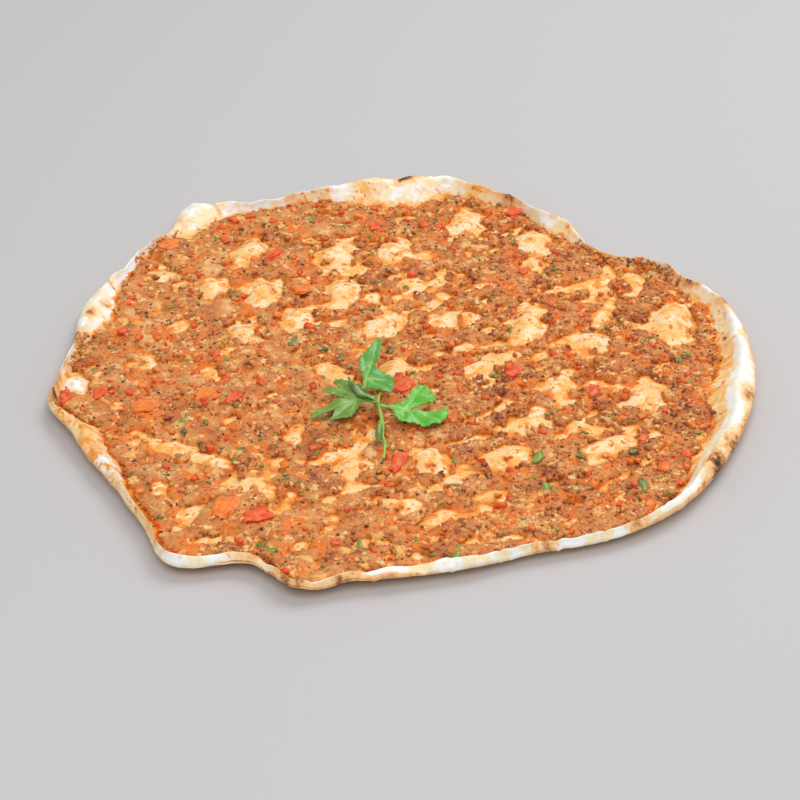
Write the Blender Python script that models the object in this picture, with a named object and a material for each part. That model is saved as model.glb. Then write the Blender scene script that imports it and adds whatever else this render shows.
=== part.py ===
"""Lahmacun: a thin hand-stretched flatbread with a raised, browned edge, spread with
minced meat, pepper and herbs, with a sprig of parsley laid on top.

Sizes are in millimetres and turn into metres when a mesh is made. The origin is under the
middle of the bread, +Z is up, and bearings are degrees counted from +X towards +Y.
"""

import math
import random

import bmesh
import bpy
from mathutils import Matrix, Vector, noise
from mathutils.geometry import delaunay_2d_cdt, intersect_point_line

MM = 0.001
GAP = 0.3                    # air between two pieces that touch
WELD = 0.01                  # points nearer than this are one, where two surfaces meet
MERGE = 0.001                # edges shorter than this close up after a union

# The stretched round of dough
BREAD_HALF_WIDTH = 141.0     # the plain oval, before its corners and hollows
BREAD_HALF_DEPTH = 146.0
EDGE_STEPS = 120
DOUGH_THICKNESS = 3.2
DOUGH_WAVE = 1.2             # how far the dough's surface swells and sinks
DOUGH_WAVE_SIZE = 70.0
FLOOR_SPACING = 13.0         # mesh spacing where the topping hides the dough

# Corners (+) and hollows (-) of the edge: bearing, push outwards, spread in degrees
EDGE_SHAPES = [
    (27, -7, 6), (40, -17, 7), (49, -17, 7), (62, -9, 8), (86, 7, 9), (100, 3, 6),
    (128, 17, 6), (141, 4, 7), (176, -3, 7), (195, 5, 6), (228, 4, 6), (239, 19, 7),
    (256, 14, 6), (266, 3, 5), (288, -5, 10), (313, 3, 12),
]

# Bare rim between the topping and the edge: bearing, width
RIM_WIDTHS = [
    (2, 13), (20, 8), (34, 3), (46, 3), (56, 9), (70, 4), (80, 9), (89, 21), (99, 15),
    (107, 5), (119, 4), (129, 18), (139, 3), (152, 5), (166, 14), (177, 4), (193, 3),
    (204, 12), (213, 10), (224, 4), (236, 3), (242, 7), (254, 4), (273, 8), (288, 3),
    (305, 4), (318, 8), (328, 13), (338, 13), (346, 19),
]

# Height of the rim's crest above the table: bearing, height
RIM_HEIGHTS = [
    (0, 11), (30, 9), (46, 7.5), (62, 9), (88, 11.5), (110, 9.5), (129, 9), (139, 7),
    (165, 9), (194, 8), (210, 9), (238, 8.5), (270, 8), (300, 8), (325, 10),
]

# How far the outermost edge curls off the table: bearing, lift
EDGE_LIFTS = [
    (0, 3), (46, 2), (88, 3.5), (129, 4), (165, 3), (194, 4), (238, 3), (254, 4.5),
    (290, 2.5), (320, 3.5),
]
RIM_LUMP = 0.9               # unevenness of the crest
RIM_LUMP_SIZE = 11.0
SHOULDER_IN = 0.62           # the rim's inner slope: share of its width, share of its rise
SHOULDER_UP = 0.55
CREST_IN = 0.30              # the crest: share of the rim's width, and a distance more
CREST_INSET = 0.5
OUTER_SLOPE = [(0.7, 0.74), (0.0, 0.42), (1.2, 0.10)]   # inward distance, share of the drop
FOOT_INSET = 6.0             # where the underside turns down to the table, and its share
FOOT_LIFT = 0.42             # of the edge's lift
CONTACT_INSET = 16.0         # the bread lies flat on the table inside this distance

# Bare blisters of dough: x, y, half length, half width, turn in degrees
BLISTERS = [
    (-84, 58, 8, 6, 90), (-70, 88, 12, 7, 74), (-62, 54, 12, 7.5, 87),
    (-31, 86, 14, 8, 65), (-28, 53, 12.5, 8, 77), (-46, 32, 10.5, 7, -86),
    (-67, 21, 11, 5.8, -55), (-9, 28, 11, 8, 44), (19, 32, 13, 5.5, 25),
    (-5, 89, 11, 7, -69), (-30, -11, 9.5, 5.5, -48), (-5, -8, 9, 6.5, 90),
    (27, 117, 14, 7.5, 88), (57, 98, 12, 7.5, 89), (51, 27, 17, 7.5, 78),
    (34, -5, 13, 6.4, 51), (76, 12, 8, 7, 60), (112, 29, 16, 9.5, 72),
    (61, -21, 10, 6.4, 73), (95, -28, 12, 7, 81), (46, -49, 9.5, 5.5, 13),
    (79, -64, 10, 7, 37), (8, -73, 9, 7, -39), (37, -71, 11.5, 7, 18),
    (-87, -67, 22, 5.4, -27), (-58, -89, 10.5, 4.2, -32), (-21, -78, 7, 6, -12),
]
BLISTER_STEPS = 10           # points round a blister
BLISTER_RISE = 0.45          # dome height for each mm of half width
BLISTER_ROUNDNESS = 1.5      # how quickly the dome falls off towards its edge
BLISTER_RING = 0.55          # where a ring of points half way up the dome lies
BLISTER_INSIDE = 0.98        # a point nearer to the edge than this stays on the dough
BLISTER_UNEVEN = 0.084       # swing of the outline in two lobes, then a smaller one in three
TWO_LOBES_TURN = 1.9
THREE_LOBES_SHARE = 0.7
THREE_LOBES_TURN = 2.7

# The meat topping
TOPPING_THICKNESS = 1.9
TOPPING_EDGE = 0.7           # thickness where it thins out
MINCE_BUMP = 1.5
MINCE_SIZE = 9.0
MINCE_DIP = 0.9              # the deepest hollow
TOPPING_SPACING = 6.6
TOPPING_JITTER = 1.1
TOPPING_FLOOR_SPACING = 14.0
FLOOR_JITTER = 1.0
LOOP_MARGIN = 3.2            # plain strip kept beside every edge of the topping
DOUGH_SEED = 3
TOPPING_SEED = 5

# Cut pieces of pepper as large as a berry: colour, x, y, length, width, turn in degrees
PEPPERS = [
    ("red", -135, -33, 7, 4.6, 100), ("red", -122, -31, 9.5, 4.5, 80),
    ("orange", -102.5, -40, 10.5, 8, 20), ("orange", -67, -108, 12, 8, 70),
    ("red", -55, -114, 10, 6.5, 20), ("orange", -105.5, 89.5, 8.5, 6.5, 45),
    ("red", -3.5, -80, 12, 4.8, 72), ("red", -58, 81, 10.5, 3.8, 60),
    ("red", 49, 121, 8, 6, 40), ("orange", -45, 51, 8.5, 6.5, 10),
    ("red", 74, -30, 8.8, 3.8, 75), ("red", -2, -26.5, 10, 8, 60),
    ("red", -14, 107, 8.8, 4.8, 80), ("red", 43, -16, 8, 4.8, 60),
    ("red", -68.5, -34, 8, 5, 65), ("orange", -79.5, -32, 8.5, 7.5, 15),
]
PEPPER_THICKNESS = 2.6
PEPPER_BEVEL = 0.8
TOP_LENGTHS = (0.78, 0.95)   # the top of a piece as a share of its foot, least and most
TOP_WIDTHS = (0.70, 0.92)
TOP_RISES = (-0.12, 0.08)    # unevenness of the top as a share of the thickness
SEAT_BLEND = 5.0             # how quickly the topping swells again past a flat seat

# Small bits fused to the topping: kind, how many, half length, half width, half height
BITS = [
    ("crumb", 44, 3.1, 2.4, 1.5), ("dice", 18, 2.6, 1.9, 1.3), ("flake", 16, 3.6, 1.7, 0.5),
    ("onion", 8, 2.8, 1.6, 1.2),
]
BIT_SIZES = (0.8, 1.2)
BIT_DENTS = (0.85, 1.15)
BIT_TILT = 0.25
BIT_CUBE = 1.7               # side of the cube that fills a bit's two half sizes
BIT_SIT = 0.15               # share of its half height that a bit's middle lies higher
BIT_MARGIN = 1.5             # from the topping's edges and from the larger pieces
BIT_CLEARANCE = 9.0          # between the middles of two bits
BIT_SEED = 11

# The parsley sprig. A leaflet is its outline seen from above, and the tilted plane that
# it lies in: height at a point, the point, and the rise for each mm along x and y
LEAFLETS = [
    ((11.0, -12, -46, 0.10, 0.10), [
        (-12, -45), (-16, -38.5), (-20.5, -36), (-22.5, -32), (-26.5, -29), (-29.5, -29.5),
        (-27, -34), (-31.5, -33), (-33.5, -35.5), (-27, -38), (-25, -39.5), (-28.5, -41.5),
        (-36.5, -47.5), (-37.5, -49), (-36.5, -51.5), (-28.5, -48), (-30, -53.5),
        (-24, -53), (-21, -52), (-19, -47.5), (-18, -44), (-15, -45.3)]),
    ((10.0, -17.5, -47, 0.0, 0.30), [
        (-18, -39), (-17, -35.5), (-18, -30.5), (-18.5, -26.5), (-18.5, -23), (-16.5, -20.5),
        (-14, -16), (-11.5, -12), (-10.5, -15), (-10.5, -18), (-11.5, -23), (-13, -27),
        (-9.5, -30), (-6, -32.5), (-5.5, -36), (-6.5, -40), (-11.5, -38.5), (-16, -37)]),
    ((10.0, -8, -49, -0.03, 0.12), [
        (-11, -45.2), (-7, -46.2), (-3, -45.8), (-0.5, -43.5), (1.5, -39), (4, -34.5),
        (7, -34), (9, -36.5), (11, -41), (9.5, -44.5), (4.5, -46), (1, -48.5), (9, -49.5),
        (13, -48.5), (15, -47), (16, -50.5), (13, -55), (7, -58.5), (4, -56),
        (-1.5, -56), (-3.5, -54.5), (-6, -48.5), (-9.5, -46.6)]),
]
STEM = [(-12, -39, 9.6), (-11.5, -42, 9.8), (-10.5, -49, 9.2), (-9.5, -57.5, 8.6),
        (-9.5, -65, 8.2), (-8.5, -69, 8.1), (-9, -78.5, 7.9)]
STALK = [(-11.2, -46, 9.8), (-11.3, -42, 11), (-10.5, -38.5, 11.6), (-8.5, -34.5, 12.2),
         (-6, -30, 12.8)]
TOP_STALK = [(-11.3, -43.5, 10), (-15.5, -40.5, 11.4), (-18, -38.5, 12.3), (-14, -33.5, 14)]
STEM_RADIUS = 0.8
STALK_RADIUS = 0.6
STALK_TAPER = 0.35
STEM_SIDES = 6
LEAF_THICKNESS = 0.6
LEAF_WAVE = 0.35
LEAF_WAVE_X = 0.55           # waves along x and y, in radians for each mm
LEAF_WAVE_Y = 0.5
LEAF_SPACING = 5.0
LEAF_MARGIN = 1.0            # between a leaflet's inner points and its outline
SPRIG_MIDDLE = (-12.0, -46.0)   # the topping is plain and level under the sprig
SPRIG_HALF_WIDTH = 31.0
SPRIG_HALF_DEPTH = 38.0

# Colour and roughness of each material
MATERIALS = {
    "baked_dough": ((0.85, 0.68, 0.42), 0.6),
    "meat_paste": ((0.56, 0.19, 0.07), 0.5),
    "red_pepper": ((0.75, 0.08, 0.03), 0.3),
    "orange_pepper": ((0.86, 0.25, 0.05), 0.3),
    "parsley": ((0.12, 0.38, 0.05), 0.45),
}


def make_material(name):
    colour, roughness = MATERIALS[name]
    material = bpy.data.materials.new(name)
    material.use_nodes = True
    shader = material.node_tree.nodes["Principled BSDF"]
    shader.inputs["Base Color"].default_value = (*colour, 1.0)
    shader.inputs["Roughness"].default_value = roughness
    shader.inputs["Metallic"].default_value = 0.0
    return material


def make_object(name, shape, material):
    """Turn a bmesh in millimetres into an object in metres."""
    bmesh.ops.scale(shape, vec=(MM, MM, MM), verts=shape.verts)
    bmesh.ops.recalc_face_normals(shape, faces=shape.faces)
    mesh = bpy.data.meshes.new(name)
    shape.to_mesh(mesh)
    shape.free()
    mesh.materials.append(material)
    piece = bpy.data.objects.new(name, mesh)
    bpy.context.scene.collection.objects.link(piece)
    return piece


def swell(x, y, size, layer):
    """Smooth noise from about -1 to 1, with lumps of the given size."""
    return noise.noise(Vector((x / size, y / size, layer)))


def hump(bearing, middle, spread):
    away = (bearing - middle + 180.0) % 360.0 - 180.0
    return math.exp(-((away / spread) ** 2))


def at_bearing(table, bearing):
    """Value at a bearing, eased between the table's entries all the way round."""
    bearing = (bearing - table[0][0]) % 360.0 + table[0][0]
    closed = table + [(table[0][0] + 360.0, table[0][1])]
    for (low, first), (high, second) in zip(closed, closed[1:]):
        if low <= bearing <= high:
            part = (bearing - low) / (high - low)
            part = part * part * (3.0 - 2.0 * part)
            return first + (second - first) * part
    return table[0][1]


def edge_radius(bearing):
    turn = math.radians(bearing)
    across = BREAD_HALF_DEPTH * math.cos(turn)
    along = BREAD_HALF_WIDTH * math.sin(turn)
    oval = BREAD_HALF_WIDTH * BREAD_HALF_DEPTH / math.hypot(across, along)
    return oval + sum(push * hump(bearing, middle, spread)
                      for middle, push, spread in EDGE_SHAPES)


def topping_radius(bearing):
    return edge_radius(bearing) - at_bearing(RIM_WIDTHS, bearing)


def bearing_of(x, y):
    return math.degrees(math.atan2(y, x)) % 360.0


def dough_top(x, y):
    return DOUGH_THICKNESS + DOUGH_WAVE * swell(x, y, DOUGH_WAVE_SIZE, 1.7)


def blister_reach(index, angle):
    """How an uneven blister's outline departs from its oval at an angle in radians."""
    two_lobes = math.sin(2.0 * angle + TWO_LOBES_TURN * index)
    three_lobes = math.sin(3.0 * angle + THREE_LOBES_TURN * index)
    return 1.0 + BLISTER_UNEVEN * (two_lobes + THREE_LOBES_SHARE * three_lobes)


def blister_point(index, angle, scale=1.0, grow=0.0):
    x, y, half_length, half_width, turn = BLISTERS[index]
    reach = blister_reach(index, angle) * scale
    along = (half_length * reach + grow) * math.cos(angle)
    across = (half_width * reach + grow) * math.sin(angle)
    turn = math.radians(turn)
    return (x + along * math.cos(turn) - across * math.sin(turn),
            y + along * math.sin(turn) + across * math.cos(turn))


def blister_measure(index, x, y, margin=0.0):
    """Below 1 inside a blister that is grown by a margin."""
    middle_x, middle_y, half_length, half_width, turn = BLISTERS[index]
    turn = math.radians(turn)
    along = (x - middle_x) * math.cos(turn) + (y - middle_y) * math.sin(turn)
    across = (y - middle_y) * math.cos(turn) - (x - middle_x) * math.sin(turn)
    reach = blister_reach(index, math.atan2(across / half_width, along / half_length))
    return math.hypot(along / (half_length * reach + margin),
                      across / (half_width * reach + margin))


def on_topping(x, y, margin):
    """Whether a point lies on the topping, at least a margin from its edges."""
    if math.hypot(x, y) > topping_radius(bearing_of(x, y)) - margin:
        return False
    return all(blister_measure(index, x, y, margin) > 1.0 for index in range(len(BLISTERS)))


def under_sprig(x, y, margin=0.0):
    return math.hypot((x - SPRIG_MIDDLE[0]) / (SPRIG_HALF_WIDTH + margin),
                      (y - SPRIG_MIDDLE[1]) / (SPRIG_HALF_DEPTH + margin)) < 1.0


def seat_height(x, y):
    return dough_top(x, y) + GAP + TOPPING_THICKNESS


def topping_top(x, y):
    """The mince's uneven surface, level where a larger piece lies on it."""
    bumps = MINCE_BUMP * swell(x, y, MINCE_SIZE, 5.3)
    if under_sprig(x, y):
        bumps = min(bumps, 0.0)
    height = seat_height(x, y) + max(bumps, -MINCE_DIP)
    for _, seat_x, seat_y, length, _, _ in PEPPERS:
        beyond = math.hypot(x - seat_x, y - seat_y) - length / 2 - TOPPING_SPACING
        if beyond < SEAT_BLEND:
            share = max(beyond, 0.0) / SEAT_BLEND
            height = seat_height(seat_x, seat_y) * (1.0 - share) + height * share
    return height


def scattered_grid(spacing, jitter, draw):
    """Points in offset rows over the whole bread, each moved a little at random."""
    row_step = spacing * math.sqrt(3.0) / 2.0
    rows = int((BREAD_HALF_DEPTH + 2 * spacing) / row_step)
    columns = int((BREAD_HALF_WIDTH + 2 * spacing) / spacing)
    for row in range(-rows, rows + 1):
        for column in range(-columns, columns + 1):
            x = (column + 0.5 * (row % 2)) * spacing + draw.uniform(-jitter, jitter)
            y = row * row_step + draw.uniform(-jitter, jitter)
            yield x, y


def outer_loop(inset):
    loop = []
    for step in range(EDGE_STEPS):
        bearing = step * 360.0 / EDGE_STEPS
        radius = topping_radius(bearing) - inset
        turn = math.radians(bearing)
        loop.append((radius * math.cos(turn), radius * math.sin(turn)))
    return loop


def blister_loop(index, scale=1.0, grow=0.0, steps=BLISTER_STEPS, start=0.0):
    return [blister_point(index, start + 2.0 * math.pi * step / steps, scale, grow)
            for step in range(steps)]


def triangulate_sheet(loops, loose, in_hole):
    """Triangles over the first loop, fixed to every loop, without those in a hole."""
    points = []
    edges = []
    for loop in loops:
        first = len(points)
        points.extend(loop)
        edges.extend((first + step, first + (step + 1) % len(loop)) for step in range(len(loop)))
    points.extend(loose)
    flat, _, faces, _, _, _ = delaunay_2d_cdt([Vector(point) for point in points],
                                              edges, [], 1, 1e-5)
    kept = []
    for face in faces:
        x = sum(flat[corner].x for corner in face) / 3.0
        y = sum(flat[corner].y for corner in face) / 3.0
        if not in_hole(x, y):
            kept.append(face)
    return [(point.x, point.y) for point in flat], kept


def in_polygon(x, y, loop):
    inside = False
    for (ax, ay), (bx, by) in zip(loop, loop[1:] + loop[:1]):
        if (ay > y) != (by > y) and x < (bx - ax) * (y - ay) / (by - ay) + ax:
            inside = not inside
    return inside


def distance_to_outline(x, y, outline):
    """How far a point is from the nearest side of a closed outline."""
    point = Vector((x, y))
    nearest = math.inf
    for start, end in zip(outline, outline[1:] + outline[:1]):
        _, share = intersect_point_line(point, Vector(start), Vector(end))
        share = min(max(share, 0.0), 1.0)
        foot = Vector(start).lerp(Vector(end), share)
        nearest = min(nearest, (point - foot).length)
    return nearest


def rim_profile(bearing):
    """Inward distance and height of the rim, from the topping's edge round to the table."""
    width = at_bearing(RIM_WIDTHS, bearing)
    turn = math.radians(bearing)
    radius = edge_radius(bearing)
    x = radius * math.cos(turn)
    y = radius * math.sin(turn)
    crest = at_bearing(RIM_HEIGHTS, bearing) + RIM_LUMP * swell(x, y, RIM_LUMP_SIZE, 8.1)
    lift = at_bearing(EDGE_LIFTS, bearing)
    foot_radius = radius - width
    foot = dough_top(foot_radius * math.cos(turn), foot_radius * math.sin(turn))
    inner = [(width, foot), (width * SHOULDER_IN, foot + (crest - foot) * SHOULDER_UP),
             (width * CREST_IN + CREST_INSET, crest)]
    outer = [(inward, lift + (crest - lift) * share) for inward, share in OUTER_SLOPE]
    return inner + outer + [(FOOT_INSET, lift * FOOT_LIFT), (CONTACT_INSET, 0.0)]


def make_flatbread(material):
    shape = bmesh.new()

    rings = []
    for step in range(EDGE_STEPS):
        bearing = step * 360.0 / EDGE_STEPS
        turn = math.radians(bearing)
        radius = edge_radius(bearing)
        rings.append([shape.verts.new(((radius - inward) * math.cos(turn),
                                       (radius - inward) * math.sin(turn), height))
                      for inward, height in rim_profile(bearing)])
    for ring, following in zip(rings, rings[1:] + rings[:1]):
        for place in range(len(ring) - 1):
            shape.faces.new((ring[place], ring[place + 1], following[place + 1], following[place]))
    shape.faces.new([ring[-1] for ring in reversed(rings)])

    draw = random.Random(DOUGH_SEED)
    loops = [outer_loop(0.0)]
    for index in range(len(BLISTERS)):
        loops.append(blister_loop(index))
    loose = [point for point in scattered_grid(FLOOR_SPACING, FLOOR_JITTER, draw)
             if on_topping(*point, LOOP_MARGIN)]
    one_step = math.tau / BLISTER_STEPS
    for index in range(len(BLISTERS)):
        loose.extend(blister_loop(index, BLISTER_RING, 0.0, BLISTER_STEPS // 2, one_step))
        loose.append(BLISTERS[index][:2])
    flat, faces = triangulate_sheet(loops, loose, lambda x, y: False)
    verts = []
    for x, y in flat:
        height = dough_top(x, y)
        for index, blister in enumerate(BLISTERS):
            reach = blister_measure(index, x, y)
            if reach < BLISTER_INSIDE:
                height += BLISTER_RISE * blister[3] * (1.0 - reach ** 2) ** BLISTER_ROUNDNESS
        verts.append(shape.verts.new((x, y, height)))
    for face in faces:
        shape.faces.new([verts[corner] for corner in face])

    bmesh.ops.remove_doubles(shape, verts=shape.verts, dist=WELD)
    bmesh.ops.triangulate(shape, faces=shape.faces)
    return make_object("flatbread", shape, material)


def make_topping_sheet(material):
    """The mince as one thin layer, open round every blister."""
    loops = [outer_loop(GAP)]
    for index in range(len(BLISTERS)):
        loops.append(blister_loop(index, 1.0, GAP))

    def in_hole(x, y):
        return any(in_polygon(x, y, loop) for loop in loops[1:])

    draw = random.Random(TOPPING_SEED)
    under = [point for point in scattered_grid(TOPPING_FLOOR_SPACING, FLOOR_JITTER, draw)
             if on_topping(*point, LOOP_MARGIN)]
    over = [point for point in scattered_grid(TOPPING_SPACING, TOPPING_JITTER, draw)
            if on_topping(*point, LOOP_MARGIN)]
    edge_count = sum(len(loop) for loop in loops)
    shape = bmesh.new()
    rims = []
    for side, loose in (("under", under), ("over", over)):
        flat, faces = triangulate_sheet(loops, loose, in_hole)
        verts = []
        for place, (x, y) in enumerate(flat):
            if side == "under":
                height = dough_top(x, y) + GAP
            elif place < edge_count:
                height = dough_top(x, y) + GAP + TOPPING_EDGE
            else:
                height = topping_top(x, y)
            verts.append(shape.verts.new((x, y, height)))
        for face in faces:
            shape.faces.new([verts[corner] for corner in face])
        rims.append(verts[:edge_count])
    first = 0
    for loop in loops:
        count = len(loop)
        for step in range(count):
            here = first + step
            there = first + (step + 1) % count
            shape.faces.new((rims[0][here], rims[0][there], rims[1][there], rims[1][here]))
        first += count
    loose_verts = [vert for vert in shape.verts if not vert.link_faces]
    bmesh.ops.delete(shape, geom=loose_verts, context="VERTS")
    bmesh.ops.triangulate(shape, faces=shape.faces)
    return make_object("meat_topping", shape, material)


def bit_shape(kind, half_length, half_width, half_height, draw):
    """One crumb, dice, flake or onion bit round the origin, each a little different."""
    shape = bmesh.new()
    if kind == "crumb":
        bmesh.ops.create_icosphere(shape, subdivisions=1, radius=1.0)
    elif kind == "flake":
        bmesh.ops.create_cone(shape, cap_ends=True, segments=6, radius1=1.0, radius2=0.9, depth=2.0)
    else:
        bmesh.ops.create_cube(shape, size=BIT_CUBE)
    for vert in shape.verts:
        vert.co *= draw.uniform(*BIT_DENTS)
    bmesh.ops.scale(shape, vec=(half_length, half_width, half_height), verts=shape.verts)
    bmesh.ops.rotate(shape, cent=(0, 0, 0), verts=shape.verts,
                     matrix=Matrix.Rotation(draw.uniform(-BIT_TILT, BIT_TILT), 3, "X")
                     @ Matrix.Rotation(draw.uniform(0.0, math.pi), 3, "Z"))
    return shape


def clear_of_pieces(x, y, reach):
    """Whether a bit of this reach stays away from every pepper piece and the sprig."""
    if under_sprig(x, y, reach):
        return False
    return all(math.hypot(x - seat_x, y - seat_y) > length / 2 + reach + BIT_MARGIN
               for _, seat_x, seat_y, length, _, _ in PEPPERS)


def make_bits(material):
    draw = random.Random(BIT_SEED)
    places = []
    bits = []
    for kind, count, half_length, half_width, half_height in BITS:
        made = 0
        while made < count:
            x = draw.uniform(-BREAD_HALF_WIDTH, BREAD_HALF_WIDTH)
            y = draw.uniform(-BREAD_HALF_DEPTH, BREAD_HALF_DEPTH)
            size = draw.uniform(*BIT_SIZES)
            if not on_topping(x, y, half_length + BIT_MARGIN):
                continue
            if not clear_of_pieces(x, y, half_length):
                continue
            if any(math.hypot(x - a, y - b) < BIT_CLEARANCE for a, b in places):
                continue
            places.append((x, y))
            made += 1
            shape = bit_shape(kind, half_length * size, half_width * size, half_height * size, draw)
            height = topping_top(x, y) + BIT_SIT * half_height
            bmesh.ops.translate(shape, vec=(x, y, height), verts=shape.verts)
            bits.append(make_object(f"{kind}_bit", shape, material))
    return bits


def fuse(body, bits):
    """Join the bits to the body with one union, then drop the loose copies."""
    group = bpy.data.collections.new("fused_bits")
    for bit in bits:
        group.objects.link(bit)
    union = body.modifiers.new("fused_bits", "BOOLEAN")
    union.operation = "UNION"
    union.operand_type = "COLLECTION"
    union.collection = group
    union.solver = "EXACT"
    seen = body.evaluated_get(bpy.context.evaluated_depsgraph_get())
    mesh = bpy.data.meshes.new_from_object(seen)
    body.modifiers.clear()
    body.data = mesh
    for bit in bits:
        bpy.data.objects.remove(bit)
    bpy.data.collections.remove(group)
    keep_largest_body(mesh)


def keep_largest_body(mesh):
    """Tidy a fused mesh: no slivers, triangles only and no loose scraps."""
    shape = bmesh.new()
    shape.from_mesh(mesh)
    bmesh.ops.dissolve_degenerate(shape, edges=shape.edges, dist=MERGE * MM)
    bmesh.ops.triangulate(shape, faces=shape.faces)
    left = set(shape.verts)
    bodies = []
    while left:
        body = set()
        waiting = [left.pop()]
        while waiting:
            vert = waiting.pop()
            body.add(vert)
            for edge in vert.link_edges:
                other = edge.other_vert(vert)
                if other in left:
                    left.remove(other)
                    waiting.append(other)
        bodies.append(body)
    largest = max(bodies, key=len)
    scraps = [vert for vert in shape.verts if vert not in largest]
    bmesh.ops.delete(shape, geom=scraps, context="VERTS")
    shape.to_mesh(mesh)
    shape.free()


def make_pepper(name, place, material):
    """A cut piece of pepper, lying flat on its seat on the topping."""
    _, x, y, length, width, turn = place
    draw = random.Random(name)
    shape = bmesh.new()
    bmesh.ops.create_cube(shape, size=1.0)
    for vert in shape.verts:
        if vert.co.z > 0:
            vert.co.x *= draw.uniform(*TOP_LENGTHS)
            vert.co.y *= draw.uniform(*TOP_WIDTHS)
            vert.co.z += draw.uniform(*TOP_RISES)
    bmesh.ops.scale(shape, vec=(length, width, PEPPER_THICKNESS), verts=shape.verts)
    bmesh.ops.bevel(shape, geom=shape.edges[:], offset=PEPPER_BEVEL, segments=1, profile=0.5,
                    affect="EDGES", material=-1)
    bmesh.ops.rotate(shape, cent=(0, 0, 0), verts=shape.verts,
                     matrix=Matrix.Rotation(math.radians(turn), 3, "Z"))
    lowest = min(vert.co.z for vert in shape.verts)
    bmesh.ops.translate(shape, vec=(x, y, seat_height(x, y) + GAP - lowest), verts=shape.verts)
    bmesh.ops.triangulate(shape, faces=shape.faces)
    return make_object(name, shape, material)


def make_tube(path, radius, material):
    """A stalk along a path, with its rings square to it and pointed a little at the end."""
    shape = bmesh.new()
    rings = []
    points = [Vector(point) for point in path]
    for place, point in enumerate(points):
        along = points[min(place + 1, len(points) - 1)] - points[max(place - 1, 0)]
        turn = along.to_track_quat("Z", "Y").to_matrix()
        size = radius * (1.0 - STALK_TAPER * place / (len(points) - 1))
        ring = []
        for side in range(STEM_SIDES):
            angle = math.tau * side / STEM_SIDES
            spoke = Vector((size * math.cos(angle), size * math.sin(angle), 0.0))
            ring.append(shape.verts.new(point + turn @ spoke))
        rings.append(ring)
    for ring, following in zip(rings, rings[1:]):
        for side in range(STEM_SIDES):
            other = (side + 1) % STEM_SIDES
            shape.faces.new((ring[side], ring[other], following[other], following[side]))
    shape.faces.new(list(reversed(rings[0])))
    shape.faces.new(rings[-1])
    bmesh.ops.triangulate(shape, faces=shape.faces)
    return make_object("stalk", shape, material)


def make_leaflet(plane, outline, material):
    """A thin wavy leaf: the same triangles above and below, joined round the edge."""
    height, middle_x, middle_y, rise_x, rise_y = plane
    low = (min(x for x, _ in outline), min(y for _, y in outline))
    high = (max(x for x, _ in outline), max(y for _, y in outline))
    inner = []
    for column in range(int((high[0] - low[0]) / LEAF_SPACING) + 1):
        for row in range(int((high[1] - low[1]) / LEAF_SPACING) + 1):
            x = low[0] + (column + 0.5) * LEAF_SPACING
            y = low[1] + (row + 0.5) * LEAF_SPACING
            if not in_polygon(x, y, outline):
                continue
            if distance_to_outline(x, y, outline) > LEAF_MARGIN:
                inner.append((x, y))
    flat, faces = triangulate_sheet([outline], inner, lambda x, y: not in_polygon(x, y, outline))
    shape = bmesh.new()
    sides = []
    for offset in (LEAF_THICKNESS / 2, -LEAF_THICKNESS / 2):
        sides.append([])
        for x, y in flat:
            wave = LEAF_WAVE * math.sin(LEAF_WAVE_X * x) * math.cos(LEAF_WAVE_Y * y)
            z = height + rise_x * (x - middle_x) + rise_y * (y - middle_y) + wave + offset
            sides[-1].append(shape.verts.new((x, y, z)))
    over, under = sides
    for face in faces:
        shape.faces.new([over[corner] for corner in face])
        shape.faces.new([under[corner] for corner in reversed(face)])
    for corner in range(len(outline)):
        other = (corner + 1) % len(outline)
        shape.faces.new((over[corner], under[corner], under[other], over[other]))
    bmesh.ops.triangulate(shape, faces=shape.faces)
    return make_object("leaflet", shape, material)


def make_sprig(material):
    sprig = make_tube(STEM, STEM_RADIUS, material)
    sprig.name = "parsley_sprig"
    leaflets = [make_leaflet(plane, outline, material) for plane, outline in LEAFLETS]
    stalks = [make_tube(path, STALK_RADIUS, material) for path in (STALK, TOP_STALK)]
    fuse(sprig, leaflets + stalks)
    return sprig


def centre_on_base(pieces):
    """Put the origin under the middle of the whole object's box, on the table."""
    corners = [vert.co for piece in pieces for vert in piece.data.vertices]
    low = Vector([min(corner[axis] for corner in corners) for axis in range(3)])
    high = Vector([max(corner[axis] for corner in corners) for axis in range(3)])
    shift = Vector((-(low.x + high.x) / 2, -(low.y + high.y) / 2, -low.z))
    for piece in pieces:
        piece.data.transform(Matrix.Translation(shift))


def main():
    for old in list(bpy.data.objects):
        bpy.data.objects.remove(old)

    materials = {name: make_material(name) for name in MATERIALS}
    pieces = [make_flatbread(materials["baked_dough"])]
    topping = make_topping_sheet(materials["meat_paste"])
    fuse(topping, make_bits(materials["meat_paste"]))
    pieces.append(topping)
    counts = {"red": 0, "orange": 0}
    for place in PEPPERS:
        kind = f"{place[0]}_pepper"
        counts[place[0]] += 1
        pieces.append(make_pepper(f"{kind}_{counts[place[0]]}", place, materials[kind]))
    pieces.append(make_sprig(materials["parsley"]))
    centre_on_base(pieces)


main()
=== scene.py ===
"""The looks of a lahmacun: baked dough with a floured, toasted rim and bare blisters, a
moist spread of fine mince with pepper, onion and herbs, and a sprig of parsley.

Sizes are in millimetres until a mesh is finished. Bearings are degrees from +X towards +Y.
"""

import math
import random

import bmesh
import bpy
from mathutils import Matrix, Vector, noise


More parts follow.
